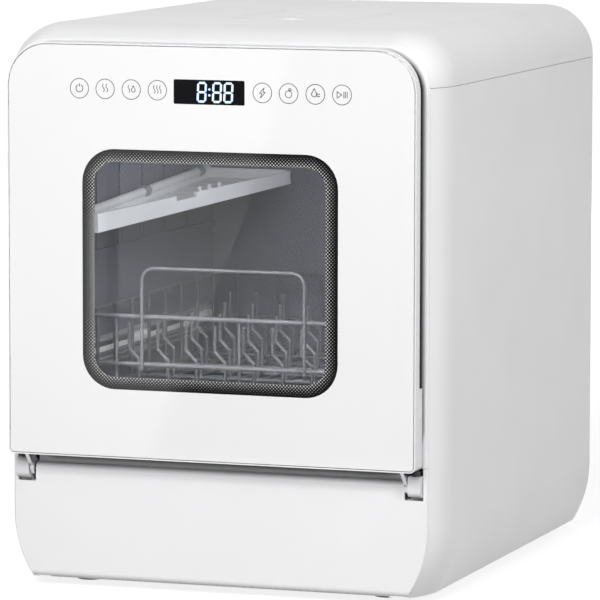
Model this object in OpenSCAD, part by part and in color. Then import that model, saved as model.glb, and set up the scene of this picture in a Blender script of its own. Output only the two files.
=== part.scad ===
// Countertop dishwasher with a drop-down window door, a sliding basket and a top fill port.
// Millimetres. Z is up, the door faces -Y, the origin is under the middle of the machine.
// Every module is drawn from the front rim: y = 0 is the rim plane, the machine runs to y = case_d.

/* [Case] */
// Width over the two side panels
case_w = 384; // [376:1:410]
// Height of the top cover above the surface that the feet stand on
case_h = 470; // [464:1:500]
// Depth from the front rim to the rear edge of the side panels
case_d = 453; // [449:1:480]
// Wall of the moulded panels
wall = 2.5; // [2:0.1:3]
// Radius of the two long top edges
corner_r = 44; // [36:1:50]
// How far the crowned front edge draws in at the rim
front_inset = 12; // [10:0.5:14]
// Depth over which the front edge draws in
front_round = 44; // [36:1:54]
// Rounding of the rear edge
rear_r = 8; // [6.5:0.5:12]
// Radius of the curve that tucks the lower sides in
tuck_r = 100; // [90:1:130]
// Height of the tuck curve above the underside
tuck_h = 53; // [45:1:58]
// Distance of the joint between the top cover and the side panels below the end of the rounding
seam_down = 2; // [1:0.5:30]
// Gap shown at the joints between panels
seam_gap = 0.4; // [0.3:0.1:0.8]
// Height of the rubber feet
foot_h = 7; // [5:0.5:9]
// Radius of a foot where it meets the base
foot_r = 14; // [10:1:18]
// Distance of the feet from the front and rear ends of the base
foot_inset = 36; // [30:1:60]

/* [Rim and plinth] */
// Thickness of the front frame and of the plinth skin
frame_t = 2.2; // [1.8:0.1:2.8]
// Top edge of the plinth between the hinges
plinth_top = 104; // [101:0.5:105]
// Height at which the plinth's side strips meet the front frame
strip_top = 115; // [114:0.5:117]
// Depth of the plinth's top and bottom returns
plinth_d = 14; // [12:0.5:15]
// Depth of the groove below the door
groove_d = 8; // [7.5:0.5:9]
// Rounding of the plinth's lower front edge
plinth_r = 6; // [4:0.5:8]

/* [Door] */
// Distance of the door's side edges inside the case's sides
door_side = 14.75; // [14:0.25:17]
// Distance of the door's top edge below the top of the case
door_head = 14; // [13.5:0.5:15]
// Lower edge of the door above the surface
door_z = 113.5; // [113.5:0.5:114.5]
// Thickness of the door slab
slab_t = 18.5; // [17.5:0.5:20]
// Gap between the door slab and the rim
door_gap = 2.5; // [2.3:0.1:3]
// Radius of the door's top corners
door_r = 35; // [30:1:38]
// Radius of the door's lower corners
door_foot_r = 5; // [3:0.5:8]
// Thickness of the outer glass
glass_t = 3.2; // [2.8:0.1:4]
// Width of the lip round the glass
glass_lip = 1; // [0.8:0.1:1.5]
// Thickness of the mouldings in the door
door_skin = 2; // [1.6:0.1:2.4]
// Depth of the finger grip behind the door edge, measured inwards
grip_d = 6; // [5:0.5:7]
// Height above the lower door edge at which the finger grip starts
grip_z = 67.5; // [50:0.5:90]
// Thickness of the door edge in front of the finger grip
grip_edge_t = 10.5; // [9:0.5:12]

/* [Window] */
// Width of the door beside the clear window
window_side = 66.25; // [62.25:0.5:77.25]
// Height of the door above the clear window
window_head = 86.5; // [81:0.5:105]
// Lower edge of the window above the surface
window_z = 171; // [165:0.5:176]
// Corner radius of the window
window_r = 28; // [20:1:34]
// Thickness of the inner window pane
pane_t = 3; // [2.5:0.1:3.5]
// Overlap of the inner pane on the liner
pane_lap = 5; // [4:0.5:6]
// How far the liner reaches into the tub
liner_reach = 11; // [9:0.5:12]

/* [Display] */
// Width of the display
display_w = 62; // [50:1:70]
// Height of the display
display_h = 20.5; // [16:0.5:24]
// Distance of the display's centre below the door's top edge
display_down = 38; // [32.5:0.5:42.5]
// Distance of the control board's ends from the door's side edges
board_side = 49.25; // [42:0.25:57]
// Height of the control board
board_h = 30; // [26:1:34]

/* [Hinge] */
// Height of the door's pivot above the surface
pivot_z = 100; // [99.5:0.1:100.5]
// Distance of the door's pivot behind the rim plane
pivot_y = 3; // [2.5:0.1:3.5]
// Diameter of the hinge pins
pin_d = 6; // [5:0.1:7]
// How far a hinge bracket's outer face stands inside the door's side edge
bracket_in = 0.25; // [0:0.05:1.25]
// Width of a hinge bracket's lug
lug_w = 11; // [9:0.5:12]
// Thickness of a hinge arm
arm_t = 3; // [2.5:0.5:4]
// Radius of the arm's eye
eye_r = 7; // [6:0.1:7.5]
// Radial play of turning pieces on their pins
play = 0.05; // [0.02:0.01:0.1]

/* [Tub] */
// Room between the tub and the case's sides
side_room = 40; // [39:0.5:42]
// Room between the tub and the top of the case
head_room = 30; // [29:1:38]
// Underside of the tub above the surface
tub_z = 120; // [119.5:0.5:121]
// Room between the tub and the rear edge of the case
rear_room = 50.8; // [48.8:1:70.8]
// Wall of the tub
tub_wall = 2; // [1.5:0.1:2.2]
// Corner radius inside the tub
tub_r = 20; // [14:1:26]
// How much smaller the mouth is than the tub, on the left and right
mouth_step = 2; // [1.5:0.5:3]
// Height of the sill and of the head of the mouth
mouth_sill = 4; // [3.5:0.5:6]
// Width of the tub's front flange
flange_w = 5; // [4:0.5:5]
// Width of the door gasket
gasket_w = 6; // [5:0.5:6.5]

/* [Basket] */
// Gap between the basket and the tub's side walls
basket_gap = 14; // [13:0.5:20]
// Gap between the basket and the tub's rear wall
basket_rear = 15.2; // [11.2:1:41.2]
// Height of the basket floor wires above the surface
basket_z = 162; // [161:0.5:166]
// Height of the upper basket wire above the floor wires
basket_h = 64; // [56:1:72]
// Height of the lower basket wire above the floor wires
basket_mid = 24; // [18:1:30]
// Distance of the basket front behind the rim
basket_y = 29; // [28:0.5:32]
// Diameter of the basket's frame wire
wire_d = 4; // [3:0.1:4.4]
// Diameter of the basket's filling wire
thin_d = 3; // [2.4:0.1:3.4]
// Corner radius of the basket
basket_r = 14; // [10:1:18]
// Width of the handle loop
handle_w = 143; // [120:1:150]
// Shift of the handle loop to the right of the middle
handle_shift = -5.5; // [-12:0.5:0]
// Shift of the front uprights to the right of the middle
upright_shift = 7; // [0:0.5:10]
// Height of the handle loop above the floor wires
handle_h = 105; // [90:1:120]
// Half the height of a runner's sliding shoe
shoe_h = 8.6; // [8:0.1:9]

/* [Side shelf] */
// Distance of the shelf's pivot below the top of the tub
shelf_down = 135; // [126:1:144]
// Width of the shelf at its front end
shelf_front_w = 28; // [24:1:36]
// Width of the shelf at its rear end
shelf_rear_w = 85; // [70:1:90]
// Angle at which the shelf and its pin rise to the rear
shelf_tilt = 2.7; // [0:0.1:3.5]
// Gap between the shelf and the tub's rear wall
shelf_rear = 33.2; // [23.2:1:73.2]
// Height of the shelf's lip at its front end
lip_h = 16; // [14:1:20]
// How much lower the lip is at its rear end
lip_fall = 5; // [0:0.5:7]
// Thickness of the shelf
shelf_t = 2.5; // [2:0.1:3]

/* [Fill port] */
// Distance of the lid's centre to the right of the middle
lid_x = 17; // [0:1:24]
// Distance of the lid's front edge behind the rim
lid_y = 129; // [120:1:140]
// Width of the lid
lid_w = 102; // [90:1:110]
// Length of the lid
lid_l = 122; // [116:1:130]
// Thickness of the lid
lid_t = 4; // [3.4:0.1:4.4]
// Gap round the lid
lid_gap = 0.6; // [0.4:0.1:1]
// Depth of the funnel basin below the lid
basin_depth = 21; // [18:0.5:21]

/* [Water system] */
// Gap between the spray arm's sweep and the tub's side walls
spray_gap = 24; // [16:1:40]
// Diameter of the spray arm's spigot
spigot_d = 12; // [10:0.5:14]
// Radius of the sump bowl
sump_r = 60; // [54:1:62]
// Distance of the sump's centre inside the case's left side
sump_in = 147; // [144:1:150]
// Radius of the filter cup
cup_r = 28; // [24:0.5:30]
// Height of the water tank
tank_h = 94; // [80:1:96]
// Wall of the water tank
tank_wall = 2.5; // [2:0.1:3]
// Radius of the wash pump's motor
motor_r = 27; // [24:1:28]
// Radius of the fan rotor
fan_r = 34; // [30:1:36]

/* [Hidden] */

$fn = 64;
eps = 0.01;
fit = 0.3;
big = 1000;

door_t = slab_t + door_gap;
face_y = door_t - (case_d + door_t) / 2;
half_w = case_w / 2;
seam_z = case_h - corner_r - seam_down;
mid_z = foot_h + tuck_h;
front_r = (front_round * front_round + front_inset * front_inset) / (2 * front_inset);
tuck_a = 60;
core_w = half_w - tuck_r + tuck_h / tan(tuck_a);

// The inner outline that base tray and back panel follow
lining = wall + fit;

door_w = case_w - 2 * door_side;
door_h = case_h - door_head - door_z;
glass_back = glass_t - door_t;
plate_back = glass_back + door_skin;
liner_front = -door_gap - door_skin;
cavity_in = grip_d + 3.5;
liner_in = grip_d + 1.5;

tub_front = frame_t;
tub_back = case_d - rear_room;
tub_d = tub_back - tub_front;
tub_w = case_w - 2 * side_room;
tub_top = case_h - head_room;
tub_h = tub_top - tub_z;
tub_cz = tub_z + tub_h / 2;
tub_in_w = tub_w - 2 * tub_wall;
tub_floor = tub_z + tub_wall;
mouth_w = tub_in_w - 2 * mouth_step;
mouth_h = tub_h - 2 * tub_wall - 2 * mouth_sill;
mouth_r = tub_r - mouth_step;
liner_clear = 6;
liner_w = mouth_w - 2 * liner_clear;
liner_h = mouth_h - 2 * liner_clear;

window_w = door_w - 2 * window_side;
window_h = door_z + door_h - window_head - window_z;
window_cz = window_z + window_h / 2;
window_lap = 2;
display_z = door_z + door_h - display_down;
board_w = door_w - 2 * board_side;

hub_y = tub_front + tub_d / 2;
basket_w = tub_in_w - 2 * basket_gap;
basket_d = tub_back - tub_wall - basket_rear - basket_y;
rail_x = tub_in_w / 2;
rail_z = basket_z + basket_mid;
rail_t = 2;
rail_w = 10.5;
rail_gap = shoe_h + 0.4;
rail_y = liner_reach + 4;
rail_l = tub_d - rail_y - 26;

runner_t = 2.5;
runner_x = basket_w / 2;

tray_wall = 2;
tray_floor_t = 3;
tray_h = 35;
tray_floor = foot_h + tray_floor_t;
tray_front = plinth_d;
panel_t = 2.5;
panel_in = 3.5;
panel_front = case_d - panel_in - panel_t;
tray_back = panel_front;

// Flanges and tongues inside the panels
flange_d = 8;
tongue_t = 2;
tongue_up = 4;
tongue_down = 10;
ledge_t = 3;

// Hinge layout
bracket_x = door_w / 2 - bracket_in;
lug_in = bracket_x - lug_w;
lug_low = pivot_z - 8.5;
lug_high = pivot_z + 8.5;
lug_nose = 9;
lug_back = 11;
arm_gap = 0.6;
arm_room = 0.8;
arm_x = lug_in - arm_gap - arm_t;
pocket_in = arm_x - arm_room;
pocket_low = pivot_z - 12;
strip_in = bracket_x + 0.5;

module at_face() {
    translate([0, face_y, 0]) children();
}

// A rounded rectangle about the origin.
module round_rect(w, h, r) {
    square([w - 2 * r, h], center = true);
    square([w, h - 2 * r], center = true);
    for (x = [-1, 1], y = [-1, 1])
        translate([x * (w / 2 - r), y * (h / 2 - r)]) circle(r);
}

// Stands a flat outline up in the XZ plane, from y to y + t.
module upright(y, t) {
    translate([0, y + t, 0]) rotate([90, 0, 0]) linear_extrude(t) children();
}

// Extrudes a YZ outline along X, from x to x + w.
module sideways(x, w) {
    translate([x, 0, 0]) rotate([90, 0, 90]) linear_extrude(w) children();
}

module y_cylinder(r, y, l) {
    translate([0, y, 0]) rotate([-90, 0, 0]) cylinder(r = r, h = l);
}

module x_cylinder(r, x, l) {
    translate([x, 0, 0]) rotate([0, 90, 0]) cylinder(r = r, h = l);
}

module both_sides() {
    children();
    mirror([1, 0, 0]) children();
}

// Section of the crowned front edge: distance from the sweep's centre against depth.
module edge_profile(r, inset, lead) {
    straight = case_d - rear_r - front_round;
    intersection() {
        translate([0, -lead]) square([r - inset, case_d + 2 * lead]);
        union() {
            translate([0, -lead]) square([max(r - front_r, eps), case_d + 2 * lead]);
            translate([r - front_r, front_round]) circle(front_r - inset, $fn = 180);
            translate([0, front_round]) square([r - inset, straight]);
            translate([0, front_round]) square([r - rear_r, straight + rear_r + lead]);
            translate([r - rear_r, case_d - rear_r]) circle(max(rear_r - inset, 0.1));
        }
    }
}

// The machine's outer form, drawn in by inset on the top and the sides.
module case_form(inset = 0, lead = 0) {
    intersection() {
        union() {
            both_sides() {
                translate([0, 0, mid_z])
                    linear_extrude(case_h - corner_r - mid_z)
                        edge_profile(half_w, inset, lead);
                translate([half_w - corner_r, 0, case_h - corner_r])
                    rotate([90, 0, 0])
                        rotate_extrude(angle = 90)
                            mirror([0, 1]) edge_profile(corner_r, inset, lead);
                translate([half_w - tuck_r, 0, mid_z])
                    mirror([0, 0, 1])
                        rotate([90, 0, 0])
                            rotate_extrude(angle = tuck_a)
                                mirror([0, 1]) edge_profile(tuck_r, inset, lead);
            }
            translate([0, 0, mid_z])
                rotate([0, -90, 0])
                    linear_extrude(case_w - 2 * corner_r, center = true)
                        edge_profile(case_h - mid_z, inset, lead);
            translate([-core_w, -lead, 0]) cube([2 * core_w, case_d + 2 * lead, mid_z]);
        }
        translate([-big / 2, -big / 2, foot_h - (lead > 0 ? lead : 0)]) cube([big, 2 * big, big]);
    }
}

module slab_y(y0, y1) {
    translate([-big / 2, y0, -eps]) cube([big, y1 - y0, big]);
}

module slab_z(z0, z1) {
    translate([-big / 2, -big / 2, z0]) cube([big, 2 * big, z1 - z0]);
}

// Sweeps of a section along the machine's outline; $r is the distance to the sweep's axis.
module side_sweep(z0, z1) {
    $r = half_w;
    translate([0, 0, z0]) linear_extrude(z1 - z0) children();
}

module corner_sweep() {
    $r = corner_r;
    translate([half_w - corner_r, 0, case_h - corner_r])
        rotate([90, 0, 0]) rotate_extrude(angle = 90) mirror([0, 1]) children();
}

module top_sweep() {
    $r = case_h - mid_z;
    translate([0, 0, mid_z])
        rotate([0, -90, 0]) linear_extrude(case_w - 2 * corner_r, center = true) children();
}

module tuck_sweep() {
    $r = tuck_r;
    intersection() {
        translate([half_w - tuck_r, 0, mid_z])
            mirror([0, 0, 1]) rotate([90, 0, 0]) rotate_extrude(angle = tuck_a)
                mirror([0, 1]) children();
        slab_z(foot_h, case_h);
    }
}

// Section of the skin, with the flange that stands behind the front frame.
module skin_section() {
    difference() {
        union() {
            intersection() {
                edge_profile($r, 0, 0);
                translate([0, frame_t + seam_gap]) square([$r + 1, case_d]);
            }
            intersection() {
                edge_profile($r, wall, 0);
                translate([0, frame_t]) square([$r, 2 * tongue_t]);
            }
        }
        difference() {
            edge_profile($r, wall, 1);
            difference() {
                translate([0, frame_t]) square([$r, tongue_t]);
                edge_profile($r, wall + flange_d, 1);
            }
        }
    }
}

tongue_l = case_d - front_round - 2 * rear_r;

// A strip along the straight inner face of a side wall.
module wall_strip(inset, t, z0, z1) {
    translate([half_w - inset - t, front_round, z0]) cube([t, tongue_l, z1 - z0]);
}

module top_cover() {
    color("white")
    at_face()
    difference() {
        union() {
            both_sides() {
                side_sweep(seam_z + seam_gap / 2, case_h - corner_r) skin_section();
                corner_sweep() skin_section();
                wall_strip(wall - eps, tongue_t + eps, seam_z + tongue_up, seam_z + tongue_up + ledge_t);
            }
            top_sweep() skin_section();
        }
        translate([lid_x - lid_w / 2 - lid_gap, lid_y - lid_gap, case_h - 2 * wall])
            cube([lid_w + 2 * lid_gap, lid_l + 2 * lid_gap, 4 * wall]);
        hook_slot(0, 2 * frame_t + tongue_t);
    }
}

module side_panel() {
    difference() {
        union() {
            side_sweep(mid_z, seam_z - seam_gap / 2) skin_section();
            tuck_sweep() skin_section();
        }
        // Room for the hinge beside the flange
        translate([pocket_in, 0, bar_low - 1])
            cube([strip_in - pocket_in, plinth_d, strip_top - bar_low + 1]);
    }
    // Tongue that carries the top cover
    wall_strip(wall - eps, tongue_t + eps, seam_z - tongue_down, seam_z - seam_gap / 2);
    wall_strip(wall + seam_gap, tongue_t - seam_gap, seam_z - tongue_down / 2, seam_z + tongue_up);
    // Ledge that rests on the wall of the base tray
    intersection() {
        tuck_sweep()
            translate([$r - lining - tray_wall, front_round])
                square([fit + tray_wall + eps, tongue_l]);
        slab_z(foot_h + tray_h, foot_h + tray_h + ledge_t);
    }
}

module right_side_panel() {
    color("white") at_face() side_panel();
}

module left_side_panel() {
    color("white") at_face() mirror([1, 0, 0]) side_panel();
}

// Rear panel

pocket_x = -100;
pocket_w = 100;
pocket_z = 61;
pocket_h = 62;
pocket_depth = 16;
fan_x = 60;
fan_z = 330;
slot_w = 4;
slot_pitch = 8;
slot_count = 8;
slot_l = 62;
screw_hole_r = 1.7;
screw_head_r = 3.6;
screw_head_t = 1.8;
screw_l = 8;
back_screws = [[-1, 0.93], [1, 0.93], [-1, 0.55], [1, 0.55], [-1, 0.2], [1, 0.2]];
back_screw_in = 14;

module at_back_screws() {
    for (p = back_screws)
        translate([p[0] * (half_w - lining - back_screw_in), 0, p[1] * (case_h - corner_r)])
            children();
}

module back_panel() {
    color("whitesmoke")
    at_face()
    difference() {
        union() {
            intersection() {
                case_form(lining);
                slab_y(panel_front, panel_front + panel_t);
            }
            translate([pocket_x - pocket_w / 2 - panel_t, panel_front + panel_t - pocket_depth,
                       pocket_z - pocket_h / 2 - panel_t])
                cube([pocket_w + 2 * panel_t, pocket_depth, pocket_h + 2 * panel_t]);
        }
        translate([pocket_x - pocket_w / 2, panel_front + 2 * panel_t - pocket_depth,
                   pocket_z - pocket_h / 2])
            cube([pocket_w, pocket_depth + panel_t, pocket_h]);
        for (i = [0 : slot_count - 1])
            translate([fan_x, 0, fan_z + (i - (slot_count - 1) / 2) * slot_pitch])
                upright(panel_front - 1, panel_t + 2) round_rect(slot_l, slot_w, slot_w / 2 - eps);
        at_back_screws() y_cylinder(screw_hole_r, panel_front - 1, panel_t + 2);
        at_ports() y_cylinder(port_hole_r, pocket_floor - panel_t - 1, panel_t + 2);
    }
}

pocket_floor = panel_front + 2 * panel_t - pocket_depth;
port_hole_r = 8;
port_step = 30;

module at_port(i) {
    translate([pocket_x + i * port_step, 0, pocket_z]) children();
}

module at_ports() {
    for (i = [-1 : 1]) at_port(i) children();
}

module case_screws() {
    color("silver")
    at_face()
    at_back_screws()
    difference() {
        union() {
            y_cylinder(screw_head_r, panel_front + panel_t, screw_head_t);
            y_cylinder(screw_hole_r - 0.1, panel_front + panel_t - screw_l, screw_l);
        }
        for (a = [0, 90])
            rotate([0, a, 0])
                translate([-0.5, panel_front + panel_t + screw_head_t - 0.9, -2.2])
                    cube([1, 2, 4.4]);
    }
}

// A hose connection: flange, hexagon and spigot on the pocket floor.
module hose_port(r, bore) {
    difference() {
        union() {
            y_cylinder(port_hole_r - fit / 2, pocket_floor - panel_t, panel_t);
            y_cylinder(r + 3, pocket_floor, 2);
            y_cylinder(r, pocket_floor, pocket_depth - 3);
        }
        y_cylinder(bore, pocket_floor - panel_t - 1, pocket_depth + panel_t);
    }
}

module inlet_port() {
    color("dimgray")
    at_face()
    at_port(0) hose_port(port_r, port_r - 3.5);
}

port_r = 10;
drain_r = 8;

module drain_port() {
    color("gray")
    at_face()
    at_port(1) hose_port(drain_r, drain_r - 2);
}

module power_gland() {
    color("black")
    at_face()
    at_port(-1)
    difference() {
        union() {
            y_cylinder(port_hole_r - fit / 2, pocket_floor - panel_t, panel_t);
            y_cylinder(10, pocket_floor, 3);
            translate([0, pocket_floor + 3, 0])
                rotate([-90, 0, 0]) cylinder(r1 = 7.5, r2 = 5, h = pocket_depth - 6.5);
        }
        y_cylinder(3.5, pocket_floor - panel_t - 1, pocket_depth + panel_t);
    }
}

// Base

module base_tray() {
    color("gainsboro")
    at_face()
    difference() {
        intersection() {
            case_form(lining);
            slab_y(tray_front, tray_back);
            slab_z(foot_h, foot_h + tray_h);
        }
        intersection() {
            case_form(lining + tray_wall, 1);
            slab_y(tray_front + tray_wall, tray_back - tray_wall);
            slab_z(tray_floor, big);
        }
        translate([pocket_x - pocket_w / 2 - panel_t - fit, tray_back - tray_wall - 1,
                   pocket_z - pocket_h / 2 - panel_t - fit])
            cube([pocket_w + 2 * panel_t + 2 * fit, tray_wall + 2, pocket_h]);
        for (i = [0 : 6])
            translate([board_x + i * tray_slot_pitch, board_y + 34, foot_h - 1])
                cube([tray_slot_w, 50, tray_floor_t + 2]);
    }
}

foot_in = 60;
foot_x = half_w - foot_in;
tray_slot_w = 5;
tray_slot_pitch = 12;

module feet() {
    color("black")
    at_face()
    for (x = [-foot_x, foot_x], y = [tray_front + foot_inset, tray_back - foot_inset])
        translate([x, y, 0])
            difference() {
                cylinder(r1 = foot_r - 2, r2 = foot_r, h = foot_h);
                translate([0, 0, -1]) cylinder(r = 5, h = 3);
            }
}

// C section of the plinth: skin, top return and bottom return.
module plinth_profile(skin) {
    difference() {
        union() {
            translate([plinth_r, foot_h]) square([plinth_d - plinth_r, plinth_top - foot_h]);
            translate([0, foot_h + plinth_r]) square([plinth_d, plinth_top - foot_h - 2 * plinth_r]);
            translate([plinth_r, foot_h + plinth_r]) circle(plinth_r);
            translate([plinth_r, plinth_top - plinth_r]) circle(plinth_r);
        }
        translate([skin, foot_h + plinth_r])
            square([plinth_d, plinth_top - foot_h - 2 * plinth_r]);
        translate([plinth_r, foot_h + skin])
            square([plinth_d, plinth_top - foot_h - 2 * skin]);
    }
}

// The pocket in plinth and frame that each hinge stands in.
module hinge_pocket(low) {
    both_sides()
        translate([pocket_in, -1, low]) cube([strip_in - pocket_in, big, big]);
}

module front_plinth() {
    color("white")
    at_face()
    difference() {
        union() {
            intersection() {
                case_form();
                sideways(-half_w, case_w) plinth_profile(frame_t);
                slab_y(0, frame_t);
            }
            intersection() {
                case_form(lining + flange_d);
                sideways(-half_w, case_w) plinth_profile(frame_t);
            }
            intersection() {
                case_form();
                slab_y(0, frame_t);
                slab_z(plinth_top - 2 * plinth_r, strip_top - seam_gap);
                both_sides() translate([pocket_in + 2, -1, 0]) cube([big, big, big]);
            }
        }
        hinge_pocket(pocket_low);
        translate([-pocket_in, groove_d, plinth_top - plinth_r])
            cube([2 * pocket_in, big, big]);
    }
}

lock_w = 44;
lock_d = 24;
lock_h = 16;
hook_w = 14;
hook_t = 4;
hook_l = 17;
hook_barb = 2.2;
hook_z = door_z + door_h - liner_in - 5;
slot_clear = 2;

module hook_slot(y0, l) {
    translate([-hook_w / 2 - slot_clear, y0, hook_z - slot_clear])
        cube([hook_w + 2 * slot_clear, l, hook_t + hook_barb + 1.3 * slot_clear]);
}

module front_frame() {
    color("white")
    at_face()
    difference() {
        union() {
            intersection() {
                case_form();
                slab_y(0, frame_t);
                slab_z(strip_top, case_h);
            }
            // Ledge over the groove and the wall at its back
            intersection() {
                case_form(lining);
                union() {
                    translate([-pocket_in, 0, strip_top])
                        cube([2 * pocket_in, groove_d + frame_t, frame_t]);
                    translate([-pocket_in, groove_d, plinth_top - plinth_r])
                        cube([2 * pocket_in, frame_t, strip_top - plinth_top + plinth_r + frame_t]);
                }
            }
        }
        translate([0, 0, tub_cz]) upright(-1, frame_t + 2) round_rect(mouth_w, mouth_h, mouth_r);
        hook_slot(-1, frame_t + 2);
    }
}

module door_lock() {
    color("dimgray")
    at_face()
    difference() {
        translate([-lock_w / 2, tub_front + tub_wall, tub_top]) cube([lock_w, lock_d, lock_h]);
        hook_slot(0, lock_d - 2);
        for (x = [-1, 1])
            translate([x * (lock_w / 2 - 6), tub_front + lock_d / 2, tub_top - 1])
                cylinder(r = 1.6, h = lock_h + 2);
    }
}

// Tub

vent_hole_r = 24;
hub_hole_r = 10;
rib_w = 6;
rib_out = 2.5;
rib_pitch = 54;
ledge_up = 146;
ledge_z = tub_z + ledge_up;
rib_head = 44;
rib_h = tub_top - rib_head - ledge_z;

module tub() {
    color("lightslategray")
    at_face()
    difference() {
        union() {
            translate([0, 0, tub_cz]) {
                upright(tub_front, tub_d) round_rect(tub_w, tub_h, tub_r + tub_wall);
                upright(tub_front, tub_wall)
                    round_rect(tub_w + 2 * flange_w, tub_h + flange_w, tub_r + flange_w / 2);
            }
        }
        difference() {
            translate([0, 0, tub_cz])
                upright(tub_front + tub_wall, tub_d - 2 * tub_wall)
                    round_rect(tub_in_w, tub_h - 2 * tub_wall, tub_r);
            // Ledge and ribs pressed into the side walls
            both_sides() {
                translate([tub_in_w / 2 - rib_out, tub_front, ledge_z]) cube([rib_out + 1, tub_d, rib_w]);
                for (i = [1 : 6])
                    translate([tub_in_w / 2 - rib_out / 2, tub_front + i * rib_pitch, ledge_z])
                        cube([rib_out, rib_w, rib_h]);
            }
        }
        translate([0, 0, tub_cz])
            upright(tub_front - 1, tub_wall + 2) round_rect(mouth_w, mouth_h, mouth_r);
        translate([-sump_x, sump_y, tub_z - 1]) cylinder(r = sump_r - 8, h = tub_wall + 2);
        translate([0, hub_y, tub_z - 1]) cylinder(r = hub_hole_r, h = tub_wall + 2);
        translate([fan_x, 0, fan_z]) y_cylinder(vent_hole_r, tub_back - tub_wall - 1, tub_wall + 2);
        for (a = [-heater_leg, heater_leg])
            translate([0, hub_y, tub_z - 1]) rotate([0, 0, 90 + a])
                translate([heater_r, 0, 0]) cylinder(r = heater_wire_r + fit, h = tub_wall + 2);
        hook_slot(0, tub_front + tub_wall + 1);
    }
}

module tub_gasket() {
    color("gray")
    at_face()
    translate([0, 0, tub_cz])
        upright(0.2 - door_gap, door_gap - 0.2)
            difference() {
                round_rect(mouth_w + 2 * gasket_w + 1, mouth_h + 2 * gasket_w + 1, mouth_r + gasket_w);
                round_rect(mouth_w + 1, mouth_h + 1, mouth_r);
            }
}

// C channel on the tub wall, open to the inside.
module rail() {
    difference() {
        translate([rail_x - rail_w, rail_y, rail_z - rail_gap - rail_t])
            cube([rail_w, rail_l, 2 * (rail_gap + rail_t)]);
        translate([rail_x - rail_w - 1, rail_y - 1, rail_z - rail_gap])
            cube([rail_w - rail_t + 1, rail_l + 2, 2 * rail_gap]);
    }
}

module right_rail() {
    color("lightgray") at_face() rail();
}

module left_rail() {
    color("lightgray") at_face() mirror([1, 0, 0]) rail();
}

// Door

// Front outline of the door above its lower edge, drawn in by i.
module door_outline(i) {
    w = door_w / 2 - i;
    r = door_r - i;
    f = max(door_foot_r - i, 0.5);
    translate([-w + r, i]) square([2 * (w - r), door_h - 2 * i]);
    translate([-w, i + f]) square([2 * w, door_h - 2 * i - f - r]);
    translate([-w + f, i]) square([2 * (w - f), door_h - 2 * i - r]);
    for (s = [-1, 1]) {
        translate([s * (w - r), door_h - i - r]) circle(r);
        translate([s * (w - f), i + f]) circle(f);
    }
}

module door_slab(i, y0, y1) {
    translate([0, 0, door_z]) upright(y0, y1 - y0) door_outline(i);
}

module window_prism(grow, y0, y1) {
    translate([0, 0, window_cz])
        upright(y0, y1 - y0)
            round_rect(window_w + 2 * grow, window_h + 2 * grow, window_r + grow);
}

arm_slot_gap = 0.3;

module arm_slots() {
    both_sides()
        translate([arm_x - arm_slot_gap, plate_back, door_z - 1])
            cube([arm_t + 2 * arm_slot_gap, liner_front - plate_back, cavity_in + 3]);
}

module door_frame() {
    color("white")
    at_face()
    difference() {
        union() {
            door_slab(0, -door_t, grip_edge_t - door_t);
            door_slab(grip_d, grip_edge_t - door_t - eps, -door_gap);
            intersection() {
                door_slab(0, grip_edge_t - door_t - eps, -door_gap);
                slab_z(door_z, door_z + grip_z);
            }
        }
        door_slab(glass_lip, -door_t - 1, glass_back);
        door_slab(cavity_in, plate_back, liner_front + 1);
        door_slab(liner_in, liner_front, 1);
        window_prism(0, glass_back - 1, plate_back + 1);
        translate([-display_w / 2, glass_back - 1, display_z - display_h / 2])
            cube([display_w, door_skin + 2, display_h]);
        arm_slots();
    }
}

module door_glass() {
    color("whitesmoke")
    at_face()
    door_slab(glass_lip + 0.1, -door_t, glass_back);
}

module display_module() {
    color("black")
    at_face()
    translate([-display_w / 2 + 0.1, glass_back, display_z - display_h / 2 + 0.1])
        cube([display_w - 0.2, door_skin, display_h - 0.2]);
}

board_t = 1.6;
chip_count = 5;

module control_board() {
    color("darkgreen")
    at_face()
    translate([0, 0, display_z]) {
        upright(plate_back, board_t)
            difference() {
                round_rect(board_w, board_h, 3);
                for (x = [-1, 1], z = [-1, 1])
                    translate([x * (board_w / 2 - 5), z * (board_h / 2 - 5)]) circle(1.6);
            }
        for (i = [0 : chip_count - 1])
            translate([-board_w / 2 + 24 + i * 48, plate_back + board_t, -6]) cube([14, 2.5, 12]);
    }
}

module door_liner() {
    color("whitesmoke")
    at_face()
    difference() {
        union() {
            door_slab(liner_in + 0.1, liner_front, -door_gap);
            translate([0, 0, tub_cz])
                upright(-door_gap - eps, liner_reach + door_gap + eps)
                    round_rect(liner_w, liner_h, mouth_r - 2);
        }
        translate([0, 0, tub_cz])
            upright(liner_front - 1, liner_reach - door_skin - liner_front + 1)
                round_rect(liner_w - 2 * door_skin, liner_h - 2 * door_skin, mouth_r - 4);
        window_prism(window_lap, 0, liner_reach + 1);
    }
}

module window_pane() {
    color("lightblue", 0.4)
    at_face()
    window_prism(window_lap + pane_lap, liner_reach - door_skin - pane_t, liner_reach - door_skin);
}

module window_seal() {
    color("dimgray")
    at_face()
    difference() {
        window_prism(window_lap + pane_lap + 2, plate_back, liner_reach - door_skin - pane_t);
        window_prism(window_lap, plate_back - 1, liner_reach);
    }
}

module latch_hook() {
    color("silver")
    at_face()
    sideways(-hook_w / 2, hook_w)
        polygon([
            [-door_gap, hook_z], [hook_l - door_gap - 3, hook_z], [hook_l - door_gap, hook_z + hook_t],
            [hook_l - door_gap - 4, hook_z + hook_t + hook_barb],
            [hook_l - door_gap - 5, hook_z + hook_t], [-door_gap, hook_z + hook_t]
        ]);
}

arm_tab_h = 46;

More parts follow.
